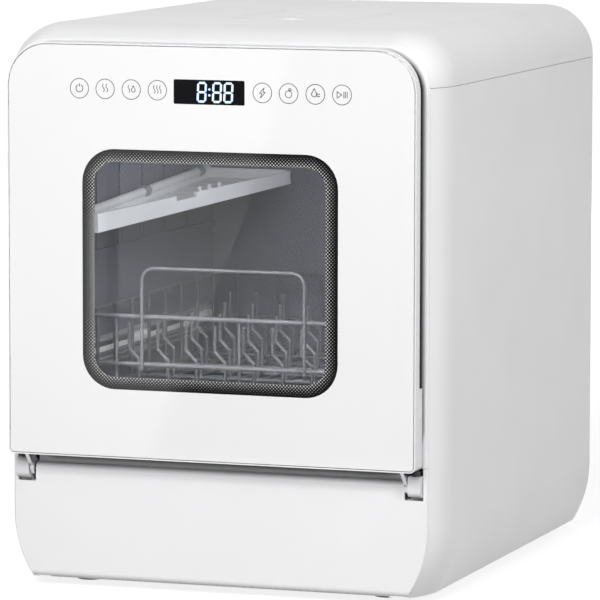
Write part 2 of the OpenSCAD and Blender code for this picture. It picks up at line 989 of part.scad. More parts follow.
// Hinge arm about the pivot: eye, neck and the tab inside the door.
module hinge_arm() {
    tab_y0 = plate_back - pivot_y;
    tab_y1 = liner_front - pivot_y;
    foot = door_z - pivot_z;
    translate([0, pivot_y, pivot_z])
    difference() {
        union() {
            x_cylinder(eye_r, arm_x, arm_t);
            sideways(arm_x, arm_t)
                polygon([
                    [-0.8 * eye_r, 0], [tab_y0, foot], [tab_y0, foot + arm_tab_h],
                    [tab_y1, foot + arm_tab_h], [tab_y1, foot], [0.4 * eye_r, 0.75 * eye_r], [0, 0]
                ]);
        }
        x_cylinder(pin_d / 2 + play, arm_x - 1, arm_t + 2);
        for (i = [1 : 2])
            translate([0, (tab_y0 + tab_y1) / 2, foot + i * 15]) x_cylinder(1.8, arm_x - 1, arm_t + 2);
    }
}

module right_hinge_arm() {
    color("silver") at_face() hinge_arm();
}

module left_hinge_arm() {
    color("silver") at_face() mirror([1, 0, 0]) hinge_arm();
}

door_screw_r = 3;
door_screw_t = 1.2;

module door_screws() {
    color("silver")
    at_face()
    for (x = [-1, 1], z = [0.12, 0.5, 0.86])
        translate([x * (door_w / 2 - liner_in - 6), 0, door_z + z * door_h])
            difference() {
                y_cylinder(door_screw_r, -door_gap, door_screw_t);
                for (a = [0, 90])
                    rotate([0, a, 0])
                        translate([-0.4, door_screw_t - door_gap - 0.6, -1.9]) cube([0.8, 2, 3.8]);
            }
}

// Hinge brackets

bar_low = pocket_low - 8;
leg_w = 10;
leg_back = plinth_d + tray_wall + 1;
leg_d = 10;
leg_x = pocket_in - leg_w;

module hinge_bracket() {
    difference() {
        union() {
            // Lug with a rounded nose that carries the pin
            sideways(lug_in, lug_w) {
                translate([pivot_y - lug_nose + 4, lug_low])
                    square([lug_nose + lug_back - 4, lug_high - lug_low]);
                translate([pivot_y - lug_nose, lug_low + 4])
                    square([lug_nose + lug_back, lug_high - lug_low - 8]);
                for (z = [lug_low + 4, lug_high - 4])
                    translate([pivot_y - lug_nose + 4, z]) circle(4);
            }
            sideways(lug_in, lug_w)
                translate([pivot_y + 2, bar_low]) square([lug_back - 2, lug_low - bar_low + 1]);
            // Bar under the arm and leg down to the tray
            sideways(leg_x, bracket_x - leg_x)
                translate([pivot_y + 2, bar_low]) square([leg_back + leg_d - pivot_y - 2, pocket_low - bar_low]);
            translate([leg_x, leg_back, tray_floor]) cube([leg_w, leg_d, pocket_low - tray_floor]);
            translate([leg_x - 8, leg_back, tray_floor]) cube([leg_w + 8, leg_d + 12, 3]);
        }
        translate([0, pivot_y, pivot_z]) x_cylinder(pin_d / 2, lug_in - 1, lug_w + 2);
    }
}

module right_hinge_bracket() {
    color("white") at_face() hinge_bracket();
}

module left_hinge_bracket() {
    color("white") at_face() mirror([1, 0, 0]) hinge_bracket();
}

pin_sink = 0.2;

// Pins pressed into the lugs, their inner ends flush with the arms.
module hinge_pins() {
    color("silver")
    at_face()
    both_sides()
        translate([0, pivot_y, pivot_z])
            x_cylinder(pin_d / 2, arm_x + pin_sink, bracket_x - arm_x - pin_sink);
}

bumper_w = 8;
bumper_t = 4.2;
bumper_fore = 2.5;

module hinge_bumpers() {
    color("black")
    at_face()
    both_sides()
        translate([lug_in + lug_w / 2, pivot_y - bumper_fore, lug_high])
            cylinder(r = bumper_w / 2, h = bumper_t);
}

// Basket

module x_wire(r, x0, x1, y, z) {
    translate([x0, y, z]) rotate([0, 90, 0]) cylinder(r = r, h = x1 - x0, $fn = 16);
}

module y_wire(r, y0, y1, x, z) {
    translate([x, y0, z]) rotate([-90, 0, 0]) cylinder(r = r, h = y1 - y0, $fn = 16);
}

module z_wire(r, z0, z1, x, y) {
    translate([x, y, z0]) cylinder(r = r, h = z1 - z0, $fn = 16);
}

// A quarter bend of wire about the origin, in the XY plane.
module bend(r, bend_r) {
    rotate_extrude(angle = 90) translate([bend_r, 0]) circle(r, $fn = 16);
}

frame_r = wire_d / 2;
fill_r = thin_d / 2;
end_x = basket_w / 2 - frame_r;
end_y0 = basket_y + frame_r;
end_y1 = basket_y + basket_d - frame_r;
upright_y = frame_r + fill_r - 0.5;
basket_top = basket_z + basket_h;
basket_low = basket_z + basket_mid;
bar_r = frame_r - 0.2;
weld = 0.1;
floor_z = basket_z - bar_r - fill_r + weld;
floor_cols = 12;
floor_rows = 9;

// End rail across the basket, turned back at both corners.
module end_rail(z) {
    x_wire(frame_r, -end_x + basket_r, end_x - basket_r, end_y0, z);
    both_sides()
        translate([end_x - basket_r, end_y0 + basket_r, z]) rotate([0, 0, -90]) bend(frame_r, basket_r);
}

// One end of the basket: two rails and the uprights between them.
module basket_end(count, span, shift) {
    end_rail(basket_top);
    end_rail(basket_low);
    for (i = [0 : count - 1])
        z_wire(fill_r, basket_z, basket_top + fill_r,
               shift + span * (i / (count - 1) - 0.5), end_y0 + upright_y);
}

handle_r = 11;

module handle_loop() {
    leg = handle_w / 2;
    top = basket_z + handle_h;
    y = end_y0 - upright_y;
    both_sides() {
        z_wire(fill_r, basket_low - 4, top - handle_r, leg, y);
        translate([leg - handle_r, y, top - handle_r]) rotate([90, 0, 0]) bend(fill_r, handle_r);
    }
    x_wire(fill_r, -leg + handle_r, leg - handle_r, y, top);
}

module basket_front() {
    color("silver")
    at_face() {
        basket_end(3, 0.8 * basket_w, upright_shift);
        translate([handle_shift, 0, 0]) handle_loop();
    }
}

module basket_back() {
    color("silver")
    at_face()
    translate([0, 2 * basket_y + basket_d, 0]) mirror([0, 1, 0]) basket_end(7, 0.88 * basket_w, 0);
}

side_count = 8;

module basket_side() {
    y0 = end_y0 + basket_r;
    y1 = end_y1 - basket_r;
    for (z = [basket_top, basket_low]) y_wire(frame_r, y0, y1, end_x, z);
    pitch = (y1 - y0) / side_count;
    for (i = [0 : side_count - 1])
        z_wire(fill_r, basket_z, basket_top + fill_r, end_x - upright_y, y0 + (i + 0.5) * pitch);
}

module basket_right() {
    color("silver") at_face() basket_side();
}

module basket_left() {
    color("silver") at_face() mirror([1, 0, 0]) basket_side();
}

module basket_floor() {
    color("silver")
    at_face() {
        x0 = end_x - basket_r;
        y0 = end_y0 + basket_r;
        y1 = end_y1 - basket_r;
        z = basket_z - frame_r;
        both_sides() {
            y_wire(frame_r, y0, y1, end_x - upright_y, z);
            translate([x0 - upright_y, y0, z]) rotate([0, 0, -90]) bend(frame_r, basket_r);
            translate([x0 - upright_y, y1, z]) bend(frame_r, basket_r);
        }
        for (y = [y0 - basket_r, y1 + basket_r])
            x_wire(frame_r, upright_y - x0, x0 - upright_y, y, z);
        cols = 2 * x0 / floor_cols;
        for (i = [1 : floor_cols - 1])
            y_wire(fill_r, y0 - basket_r, y1 + basket_r, -x0 + i * cols, floor_z);
        rows = (y1 - y0) / floor_rows;
        for (i = [0 : floor_rows])
            x_wire(fill_r, upright_y - end_x, end_x - upright_y, y0 + i * rows, floor_z - thin_d + 0.7);
    }
}

tine_rows = [30, 112, 194, 276];
tine_count = 9;
tine_margin = 34;
tine_pitch = (basket_w - 2 * tine_margin) / (tine_count - 1);
tine_shift = 11;
tine_h = 54;
tine_jog = 9;

// One bent tine: a foot, a jog and a tip.
module tine(x, y) {
    low = basket_z + 0.45 * tine_h;
    high = low + tine_jog;
    z_wire(fill_r, basket_z - fill_r, low, x, y);
    translate([x, y, low]) sphere(fill_r + 0.15, $fn = 24);
    translate([x, y, low]) rotate([0, -45, 0]) cylinder(r = fill_r, h = tine_jog * sqrt(2), $fn = 16);
    translate([x - tine_jog, y, high]) sphere(fill_r + 0.15, $fn = 24);
    z_wire(fill_r, high, basket_z + tine_h, x - tine_jog, y);
    translate([x - tine_jog, y, basket_z + tine_h]) sphere(fill_r + 0.15, $fn = 24);
}

module basket_tines() {
    color("silver")
    at_face()
    for (y = tine_rows) {
        x_wire(bar_r, -end_x + basket_r, end_x - basket_r, basket_y + y, basket_z);
        for (i = [0 : tine_count - 1])
            tine((i - (tine_count - 1) / 2) * tine_pitch + tine_shift, basket_y + y);
    }
}

shoe_w = 7;
shoe_l = 34;
shoe_r = 4;
shoe_places = [0.45, 0.9];

module basket_runners() {
    color("whitesmoke")
    at_face()
    both_sides() {
        translate([runner_x, basket_y + 30, basket_low - 5]) cube([runner_t, basket_d - 50, 10]);
        for (s = shoe_places)
            translate([0, basket_y + s * basket_d, basket_low])
                sideways(runner_x + runner_t, shoe_w) round_rect(shoe_l, 2 * shoe_h, shoe_r);
    }
}

// Side shelf

shelf_pin_r = 2;
shelf_pivot_x = tub_in_w / 2 - 6.5;
shelf_z = tub_top - shelf_down;
shelf_drop = 10;
shelf_y = basket_y - 2;
shelf_l = tub_back - tub_wall - shelf_rear - shelf_y;
knuckle_r = 4;
knuckle_w = 14;
knuckles = [0.1, 0.5, 0.9];
shelf_slots = 14;
slot_gap = 3;

shelf_corner = 12;
shelf_flare = atan((shelf_rear_w - shelf_front_w) / shelf_l);

// Moves to the front end of the shelf's pin, on the left wall.
module at_shelf() {
    at_face() translate([-shelf_pivot_x, shelf_y, shelf_z]) rotate([shelf_tilt, 0, 0]) children();
}

module shelf_brackets() {
    color("lightgray")
    at_shelf()
    for (s = knuckles)
        translate([0, s * shelf_l + knuckle_w / 2, 0])
            difference() {
                union() {
                    y_cylinder(knuckle_r, fit, knuckle_w - 2 * fit);
                    translate([shelf_pivot_x - tub_in_w / 2, fit, -knuckle_r])
                        cube([tub_in_w / 2 - shelf_pivot_x, knuckle_w - 2 * fit, 2 * knuckle_r]);
                }
                y_cylinder(shelf_pin_r + play, -1, knuckle_w + 2);
            }
}

module shelf_pin() {
    color("silver") at_shelf() y_cylinder(shelf_pin_r, 0, shelf_l);
}

// The shelf from above: a long panel that widens to the rear and has a rounded rear corner.
module shelf_plate(in, z0, h) {
    r = shelf_corner - in;
    cx = shelf_front_w + (shelf_l - shelf_corner) * tan(shelf_flare) - shelf_corner / cos(shelf_flare);
    cy = shelf_l - shelf_corner;
    translate([0, 0, z0]) {
        linear_extrude(h)
            polygon([
                [in, in], [shelf_front_w + in * tan(shelf_flare) - in / cos(shelf_flare), in],
                [cx + r * cos(shelf_flare), cy - r * sin(shelf_flare)], [cx, cy + r], [in, cy + r]
            ]);
        translate([cx, cy, 0]) cylinder(r = r, h = h);
    }
}

module shelf_gaps(x, w, h) {
    for (s = knuckles)
        translate([x, s * shelf_l + knuckle_w / 2 - fit, -h]) cube([w, knuckle_w + 2 * fit, 2 * h]);
}

lip_notch = [0.38, 0.48];
lip_teeth = [0.5, 0.55, 0.6];
tooth_w = 2;
tooth_up = 4;

module side_shelf() {
    low = -shelf_drop;
    top = low + lip_h;
    color("lavender")
    at_shelf()
    difference() {
        union() {
            difference() {
                shelf_plate(0, low, lip_h);
                shelf_plate(shelf_t, low + shelf_t, lip_h);
                translate([-1, -1, 0]) cube([shelf_t + 1, shelf_l + 2, lip_h]);
                // The lip gets lower to the rear and has a notch
                sideways(-1, shelf_rear_w + 2)
                    polygon([
                        [0, top], [lip_notch[0] * shelf_l, top - lip_notch[0] * lip_fall],
                        [lip_notch[0] * shelf_l, top - 4 - lip_notch[0] * lip_fall],
                        [lip_notch[1] * shelf_l, top - 4 - lip_notch[1] * lip_fall],
                        [lip_notch[1] * shelf_l, top - lip_notch[1] * lip_fall],
                        [shelf_l + 1, top - lip_fall], [shelf_l + 1, top + 1], [0, top + 1]
                    ]);
            }
            // Teeth that keep cutlery apart
            for (s = lip_teeth)
                translate([shelf_front_w + s * shelf_l * tan(shelf_flare) - shelf_t, s * shelf_l,
                           low + shelf_t])
                    cube([shelf_t, tooth_w, lip_h - s * lip_fall - shelf_t + tooth_up]);
            // The inner wall carries the knuckles
            difference() {
                y_cylinder(knuckle_r, 0, shelf_l);
                shelf_gaps(-knuckle_r - 1, 2 * knuckle_r + 2, knuckle_r + 1);
            }
        }
        shelf_gaps(-1, shelf_t + 2, knuckle_r + fit);
        y_cylinder(shelf_pin_r + play, -1, shelf_l + 2);
        for (i = [1 : shelf_slots - 1])
            translate([shelf_t + 4, i * shelf_l / shelf_slots, low - 1])
                cube([shelf_front_w - shelf_t - 10 + (shelf_rear_w - shelf_front_w) * i / shelf_slots,
                      slot_gap, shelf_t + 2]);
    }
}

// Fill port

lid_back = lid_y + lid_l;
lid_axis_y = lid_back - lid_t / 2;
lid_axis_z = case_h - lid_t / 2;
lid_pin_r = 1;
boss_w = 8;
boss_d = 7;
notch_r = 11;

module lid_plate() {
    difference() {
        union() {
            translate([lid_x - lid_w / 2, lid_y, case_h - lid_t]) cube([lid_w, lid_l - lid_t / 2, lid_t]);
            translate([0, lid_axis_y, lid_axis_z])
                x_cylinder(lid_t / 2, lid_x - lid_w / 2 + boss_w, lid_w - 2 * boss_w);
        }
        for (s = [-1, 1])
            translate([lid_x + s * lid_w / 2 - boss_w, lid_back - boss_d, case_h - lid_t - 1])
                cube([2 * boss_w, boss_d + 1, lid_t + 2]);
        translate([lid_x, lid_y, case_h - 1.6]) cylinder(r = notch_r, h = 3);
    }
}

module fill_lid() {
    color("white")
    at_face()
    difference() {
        lid_plate();
        translate([0, lid_axis_y, lid_axis_z]) x_cylinder(lid_pin_r + play, lid_x - lid_w, 2 * lid_w);
    }
}

seat_z = case_h - lid_t;
funnel_lap = 7;
basin_wall = 2;
basin_in = 8;
basin_z = seat_z - basin_depth;
boss_gap = 0.4;

module funnel_block(in, z0, z1) {
    translate([lid_x - lid_w / 2 + in, lid_y + in, z0]) cube([lid_w - 2 * in, lid_l - 2 * in, z1 - z0]);
}

module fill_funnel() {
    color("lightgray")
    at_face()
    difference() {
        union() {
            funnel_block(-funnel_lap, seat_z - 2, case_h - wall);
            funnel_block(basin_in - basin_wall, basin_z, seat_z);
            for (s = [-1, 1])
                translate([lid_x + s * (lid_w / 2 - boss_w / 2 + boss_gap / 2) - boss_w / 2 + boss_gap,
                           lid_back - boss_d + boss_gap, seat_z - 2])
                    cube([boss_w - boss_gap * 1.5, boss_d - boss_gap, lid_t + 2]);
        }
        difference() {
            funnel_block(-lid_gap, seat_z, case_h + 1);
            for (s = [-1, 1])
                translate([lid_x + s * (lid_w / 2 - boss_w / 2 + boss_gap / 2) - boss_w / 2 + boss_gap,
                           lid_back - boss_d + boss_gap, seat_z - 3])
                    cube([boss_w - boss_gap * 1.5, boss_d - boss_gap, lid_t + 3]);
        }
        funnel_block(basin_in, basin_z + basin_wall, case_h + 1);
        // Room for the lid's rounded rear edge, and its outlet
        translate([lid_x - lid_w / 2 + boss_w, lid_axis_y - lid_t / 2 - 1, seat_z - 0.8])
            cube([lid_w - 2 * boss_w, lid_t + 1, 2]);
        translate([0, lid_axis_y, lid_axis_z]) x_cylinder(lid_pin_r, lid_x - lid_w, 2 * lid_w);
        translate([lid_x, duct_y + duct_wall, basin_z + basin_wall])
            cube([lid_w, duct_d - 2 * duct_wall, duct_h - 2 * duct_wall]);
    }
}

module lid_pin() {
    color("silver")
    at_face()
    translate([0, lid_axis_y, lid_axis_z])
        x_cylinder(lid_pin_r, lid_x - lid_w / 2 + 0.8, lid_w - 1.6);
}

duct_wall = 1.6;
duct_h = 14;
duct_d = 34;
duct_y = lid_y + lid_l - basin_in - duct_d - 4;
duct_x0 = lid_x + lid_w / 2 - basin_in + basin_wall;
duct_x1 = tub_w / 2 + flange_w + 14;
duct_top = basin_z + basin_wall + duct_h - duct_wall;
tank_top = tray_floor + tank_h;

// Elbow of the duct in XZ, drawn in by i; the cut through its bore runs past both ends.
module duct_strip(i) {
    bend_x = duct_x1 - duct_h;
    bend_z = duct_top - duct_h;
    over = i > 0 ? 1 : 0;
    translate([duct_x0 - over, bend_z + i]) square([bend_x + i - duct_x0 + over, duct_h - 2 * i]);
    translate([bend_x + i, tank_top - over]) square([duct_h - 2 * i, bend_z + i - tank_top + over]);
    intersection() {
        translate([bend_x, bend_z]) circle(duct_h - i);
        translate([bend_x + i, bend_z + i]) square(2 * duct_h);
    }
}

module fill_duct() {
    color("lightgray")
    at_face()
    difference() {
        upright(duct_y, duct_d) duct_strip(0);
        upright(duct_y + duct_wall, duct_d - 2 * duct_wall) duct_strip(duct_wall);
    }
}

// Water tank: an L from above, round the wash pump.
tank_x1 = duct_x1 + tank_wall;
tank_x0 = 14;
tank_y0 = duct_y - 2;
tank_y1 = pocket_floor - panel_t - 1;
tank_step_y = hub_y + 106;
tank_in = 36;
tank_left = half_w - tank_in;
tank_r = 10;

module tank_outline(i) {
    r = tank_r - i;
    x0 = tank_x0 + i;
    x1 = tank_x1 - i;
    y0 = tank_y0 + i;
    y1 = tank_y1 - i;
    ys = tank_step_y + i;
    xl = -tank_left + i;
    translate([x0 + r, y0]) square([x1 - x0 - 2 * r, y1 - y0]);
    translate([x0, y0 + r]) square([x1 - x0, y1 - y0 - 2 * r]);
    translate([xl + r, ys]) square([x1 - xl - 2 * r, y1 - ys]);
    translate([xl, ys + r]) square([x1 - xl, y1 - ys - 2 * r]);
    for (p = [[x0 + r, y0 + r], [x1 - r, y0 + r], [x1 - r, y1 - r], [xl + r, y1 - r], [xl + r, ys + r]])
        translate(p) circle(r);
}

module water_tank() {
    color("aliceblue")
    at_face()
    difference() {
        intersection() {
            translate([0, 0, tray_floor]) linear_extrude(tank_h) tank_outline(0);
            case_form(lining + tray_wall + fit);
        }
        intersection() {
            translate([0, 0, tray_floor + tank_wall])
                linear_extrude(tank_h - 2 * tank_wall) tank_outline(tank_wall);
            case_form(lining + tray_wall + fit + tank_wall);
        }
        translate([duct_x1 - duct_h + duct_wall, duct_y + duct_wall, tank_top - tank_wall - 1])
            cube([duct_h - 2 * duct_wall, duct_d - 2 * duct_wall, tank_wall + 2]);
    }
}

// Sump and filters

sump_x = half_w - sump_in;
sump_h = 50;
sump_wall = 3;
sump_low = tub_z - sump_h;
sump_port_r = 11;
port_l = 8;
port_up = 16;
port_z = sump_low + port_up;
plate_t = 1.2;
filter_w = 132;

module sump() {
    color("dimgray")
    at_face()
    translate([-sump_x, sump_y, 0])
    difference() {
        union() {
            translate([0, 0, sump_low + 12]) cylinder(r = sump_r, h = sump_h - 12);
            translate([0, 0, sump_low]) cylinder(r1 = sump_r - 12, r2 = sump_r, h = 12);
            translate([0, 0, tub_z - 3]) cylinder(r = sump_r + 6, h = 3);
            translate([0, 0, port_z]) {
                y_cylinder(sump_port_r, 0, sump_r + port_l);
                rotate([0, 0, 180]) x_cylinder(sump_port_r, 0, sump_r + port_l);
            }
        }
        translate([0, 0, sump_low + 12]) cylinder(r = sump_r - sump_wall, h = sump_h);
        translate([0, 0, sump_low + sump_wall])
            cylinder(r1 = sump_r - 12 - sump_wall, r2 = sump_r - sump_wall, h = 12);
        translate([0, 0, port_z]) {
            y_cylinder(sump_port_r - 2, 0, sump_r + port_l + 1);
            rotate([0, 0, 180]) x_cylinder(sump_port_r - 2, 0, sump_r + port_l + 1);
        }
    }
}

module filter_plate() {
    color("silver")
    at_face()
    translate([-sump_x, sump_y, tub_floor])
    difference() {
        linear_extrude(plate_t) round_rect(filter_w, filter_w, 20);
        translate([0, 0, -1]) cylinder(r = cup_r + 0.4, h = plate_t + 2);
        for (a = [0 : 15 : 345], r = [38, 46, 54])
            rotate([0, 0, a]) translate([r, 0, -1]) cylinder(r = 2, h = plate_t + 2, $fn = 16);
    }
}

cup_flange = 5;
cup_depth = 40;
cup_wall = 1.5;

module filter_cup() {
    color("steelblue")
    at_face()
    translate([-sump_x, sump_y, 0])
    difference() {
        union() {
            translate([0, 0, tub_floor + plate_t]) cylinder(r = cup_r + cup_flange, h = 2.2);
            translate([0, 0, tub_floor - cup_depth]) cylinder(r = cup_r, h = cup_depth + plate_t + 1);
            translate([-cup_r, -2, tub_floor + plate_t + 1]) cube([2 * cup_r, 4, 9]);
        }
        difference() {
            translate([0, 0, tub_floor - cup_depth + cup_wall])
                cylinder(r = cup_r - cup_wall, h = cup_depth + 20);
            translate([-cup_r - 1, -2, tub_floor + plate_t]) cube([2 * cup_r + 2, 4, 10]);
        }
        // Side windows of the filter cylinder
        for (a = [15 : 30 : 345], z = [6, 20])
            rotate([0, 0, a])
                translate([0, -4, tub_floor - cup_depth + z]) cube([cup_r + 1, 8, 10]);
    }
}

// Pumps and hoses

volute_r = 31;
volute_w = 24;
motor_l = 80;
volute_y = hub_y - volute_w / 2;
inlet_l = 12;
pipe_gap = 0.2;
sump_y = volute_y - inlet_l - pipe_gap - port_l - sump_r;
hose_r = 13;
feed_r = 9;
feed_z = port_z + 3;

module wash_pump() {
    color("dimgray")
    at_face()
    translate([-sump_x, 0, port_z])
    difference() {
        union() {
            y_cylinder(sump_port_r, volute_y - inlet_l, inlet_l + 1);
            y_cylinder(volute_r, volute_y, volute_w);
            y_cylinder(motor_r, volute_y + volute_w, motor_l);
            y_cylinder(motor_r - 8, volute_y + volute_w + motor_l, 4);
            for (a = [0 : 30 : 330])
                rotate([0, a, 0])
                    translate([-1.5, volute_y + volute_w, 0]) cube([3, motor_l - 16, motor_r + 2]);
            translate([0, hub_y, feed_z - port_z]) x_cylinder(feed_r, 0, sump_x - feed_r - 4);
            for (y = [volute_y + 4, volute_y + volute_w + motor_l - 16])
                translate([-18, y, tray_floor - port_z]) cube([36, 8, port_z - tray_floor - motor_r + 6]);
        }
        y_cylinder(sump_port_r - 2.5, volute_y - inlet_l - 1, inlet_l + 8);
    }
}

drain_body_r = 22;
drain_l = 40;
sump_left = sump_x + sump_r;

module drain_pump() {
    color("gray")
    at_face()
    translate([0, sump_y, port_z]) {
        x_cylinder(sump_port_r, -sump_left - port_l - 8, 6);
        x_cylinder(drain_body_r, -sump_left - port_l - 8 - drain_l, drain_l);
        x_cylinder(6, -sump_left - port_l - 8 - drain_l - 3, 4);
        translate([-sump_left - port_l - 8 - drain_l + 6, -15, tray_floor - port_z])
            cube([drain_l - 12, 30, port_z - tray_floor - drain_body_r + 4]);
        translate([-sump_left - port_l - 8 - 12, drain_body_r - 5, 8]) y_cylinder(5, 0, 16);
    }
}

// Two straight sleeves, and the bend that feeds the spray hub.
module hoses() {
    color("black")
    at_face() {
        sump_out = sump_y + sump_r + port_l - 5;
        pump_in = volute_y - inlet_l + 5;
        // Sump to wash pump
        translate([-sump_x, 0, port_z])
            difference() {
                y_cylinder(hose_r, sump_out, pump_in - sump_out);
                y_cylinder(sump_port_r, sump_out - 1, pump_in - sump_out + 2);
            }
        // Sump to drain pump
        translate([0, sump_y, port_z])
            difference() {
                x_cylinder(hose_r, -sump_left - port_l - 5, 10);
                x_cylinder(sump_port_r, -sump_left - port_l - 6, 12);
            }
        // Wash pump to spray hub
        translate([-feed_r - 4, hub_y, feed_z + feed_r + 4])
            rotate([90, 0, 0])
                rotate([0, 0, -90])
                    rotate_extrude(angle = 90)
                        translate([feed_r + 4, 0])
                            difference() {
                                circle(feed_r);
                                circle(feed_r - 2);
                            }
    }
}

spigot_h = 12;
hub_low = feed_z + feed_r + 4;
arm_z = tub_floor + 14;
arm_h = 12;

module spray_hub() {
    color("lightgray")
    at_face()
    translate([0, hub_y, 0])
    difference() {
        union() {
            translate([0, 0, hub_low]) cylinder(r = hub_hole_r - fit, h = tub_floor - hub_low + 1);
            translate([0, 0, tub_floor]) cylinder(r = 20, h = 4);
            translate([0, 0, tub_floor]) cylinder(r = 11, h = arm_z - tub_floor - 0.3);
            translate([0, 0, tub_floor]) cylinder(r = spigot_d / 2, h = arm_z - tub_floor + spigot_h - 3);
        }
        translate([0, 0, hub_low - 1]) cylinder(r = spigot_d / 2 - 2, h = big);
    }
}

spray_r = tub_in_w / 2 - spray_gap;
nozzles = [0.35, 0.55, 0.75, 0.92];
blade_w = 26;
tip_w = 16;

// Spray arm: two opposed blades that narrow to round tips, a hub and nozzles.
module spray_arm() {
    color("lightgray")
    at_face()
    translate([0, hub_y, arm_z])
    difference() {
        union() {
            cylinder(r = 17, h = arm_h);
            for (a = [0, 180])
                rotate([0, 0, a])
                    translate([0, 0, 2]) {
                        linear_extrude(arm_h - 4) {
                            polygon([[0, -blade_w / 2], [spray_r - tip_w / 2, -tip_w / 2],
                                     [spray_r - tip_w / 2, tip_w / 2], [0, blade_w / 2]]);
                            translate([spray_r - tip_w / 2, 0]) circle(tip_w / 2);
                        }
                        translate([14, -1, 0]) cube([spray_r - 40, 2, arm_h - 2.5]);
                    }
        }
        translate([0, 0, -1]) cylinder(r = spigot_d / 2 + play, h = spigot_h - 1);
        for (a = [0, 180], s = nozzles)
            rotate([0, 0, a])
                translate([s * (spray_r - 10), 4, arm_h / 2]) cylinder(r = 1.6, h = arm_h, $fn = 24);
    }
}

heater_r = 54;
heater_wire_r = 3.2;
heater_z = tub_floor + 7;
heater_leg = 8;

// Ring heater over the tub floor, with two legs down through it.
module heater() {
    color("silver")
    at_face()
    translate([0, hub_y, 0]) {
        translate([0, 0, heater_z])
            rotate([0, 0, 90 + heater_leg])
                rotate_extrude(angle = 360 - 2 * heater_leg)
                    translate([heater_r, 0]) circle(heater_wire_r, $fn = 32);
        for (a = [-heater_leg, heater_leg])
            rotate([0, 0, 90 + a])
                translate([heater_r, 0, 0]) {
                    translate([0, 0, tub_z - 16]) cylinder(r = heater_wire_r, h = heater_z - tub_z + 16);
                    translate([0, 0, heater_z]) sphere(heater_wire_r + 0.1);
                    translate([0, 0, tub_floor]) cylinder(r = heater_wire_r + 2.5, h = 2);
                    translate([0, 0, tub_z - 5]) cylinder(r = heater_wire_r + 2.5, h = 5);
                }
    }
}

// Electronics and drying fan

board_x = 62;
board_y = tray_front + 24;

module power_board() {
    color("darkgreen")
    at_face()
    translate([board_x, board_y, tray_floor]) {
        for (x = [6, 78], y = [6, 88]) translate([x, y, 0]) cylinder(r = 4, h = 10);
        translate([0, 0, 10]) cube([84, 94, 1.6]);
        translate([10, 12, 11.6]) cube([26, 30, 24]);
        translate([46, 14, 11.6]) cube([12, 24, 16]);
        for (y = [52, 68]) translate([18, y, 11.6]) cylinder(r = 6.5, h = 22);
        for (i = [0 : 3]) translate([38 + i * 11, 60, 11.6]) cube([8, 18, 12]);
    }
}

fan_t = 24;
fan_frame = 2 * fan_r + 12;
fan_y = panel_front - fan_t;
rotor_gap = 2;

module fan_housing() {
    color("dimgray")
    at_face()
    translate([fan_x, 0, fan_z])
    difference() {
        union() {
            upright(fan_y, fan_t) round_rect(fan_frame, fan_frame, 8);
            y_cylinder(vent_hole_r + 4, tub_back, fan_y - tub_back + 1);
        }
        y_cylinder(fan_r + rotor_gap, fan_y + 3, fan_t);
        y_cylinder(vent_hole_r, tub_back - 1, fan_y - tub_back + 6);
        for (x = [-1, 1], z = [-1, 1])
            translate([x * (fan_frame / 2 - 5), 0, z * (fan_frame / 2 - 5)]) y_cylinder(2.1, fan_y - 1, fan_t + 2);
    }
    color("dimgray")
    at_face()
    translate([fan_x, 0, fan_z]) {
        // Spider that carries the rotor's spindle
        for (a = [0 : 120 : 240])
            rotate([0, a, 0]) translate([-2, fan_y, 0]) cube([4, 2.5, vent_hole_r + 1]);
        y_cylinder(9, fan_y, 2.5);
        y_cylinder(spindle_r, fan_y, fan_t - 4);
    }
}

spindle_r = 2.5;
blade_count = 7;

module dry_fan() {
    color("black")
    at_face()
    translate([fan_x, 0, fan_z])
    difference() {
        union() {
            y_cylinder(13, fan_y + 3.5, fan_t - 7);
            for (i = [0 : blade_count - 1])
                rotate([0, i * 360 / blade_count, 0])
                    translate([0, fan_y + fan_t / 2 - 0.5, 10])
                        rotate([0, 0, 35])
                            translate([-9, -1, 0]) cube([18, 2, fan_r - 12]);
        }
        y_cylinder(spindle_r + play, fan_y + 3, fan_t - 6.5);
    }
}

top_cover();
left_side_panel();
right_side_panel();
back_panel();
base_tray();
front_plinth();
front_frame();
feet();
case_screws();
tub();
tub_gasket();
left_rail();
right_rail();
water_tank();
fill_duct();
fill_funnel();
lid_pin();
fill_lid();
sump();
filter_plate();
filter_cup();
wash_pump();
drain_pump();
heater();
hoses();
spray_hub();
spray_arm();
inlet_port();
drain_port();
power_gland();
power_board();
fan_housing();
dry_fan();
left_hinge_bracket();
right_hinge_bracket();
hinge_pins();
hinge_bumpers();
door_lock();
shelf_brackets();
shelf_pin();
side_shelf();
door_frame();
door_glass();
window_pane();
window_seal();
door_liner();
control_board();
display_module();
latch_hook();
left_hinge_arm();
right_hinge_arm();
door_screws();
basket_floor();
basket_front();
basket_back();
basket_left();
basket_right();
basket_tines();
basket_runners();
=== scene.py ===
"""Looks of a countertop dishwasher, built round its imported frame.

The door faces -Y, Z is up and every size is in metres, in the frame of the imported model.
"""

from __future__ import annotations

import logging
import math
from dataclasses import dataclass, field
from enum import Enum
from typing import ClassVar, Iterable, Sequence

import bmesh
import bpy
from mathutils import Matrix, Vector

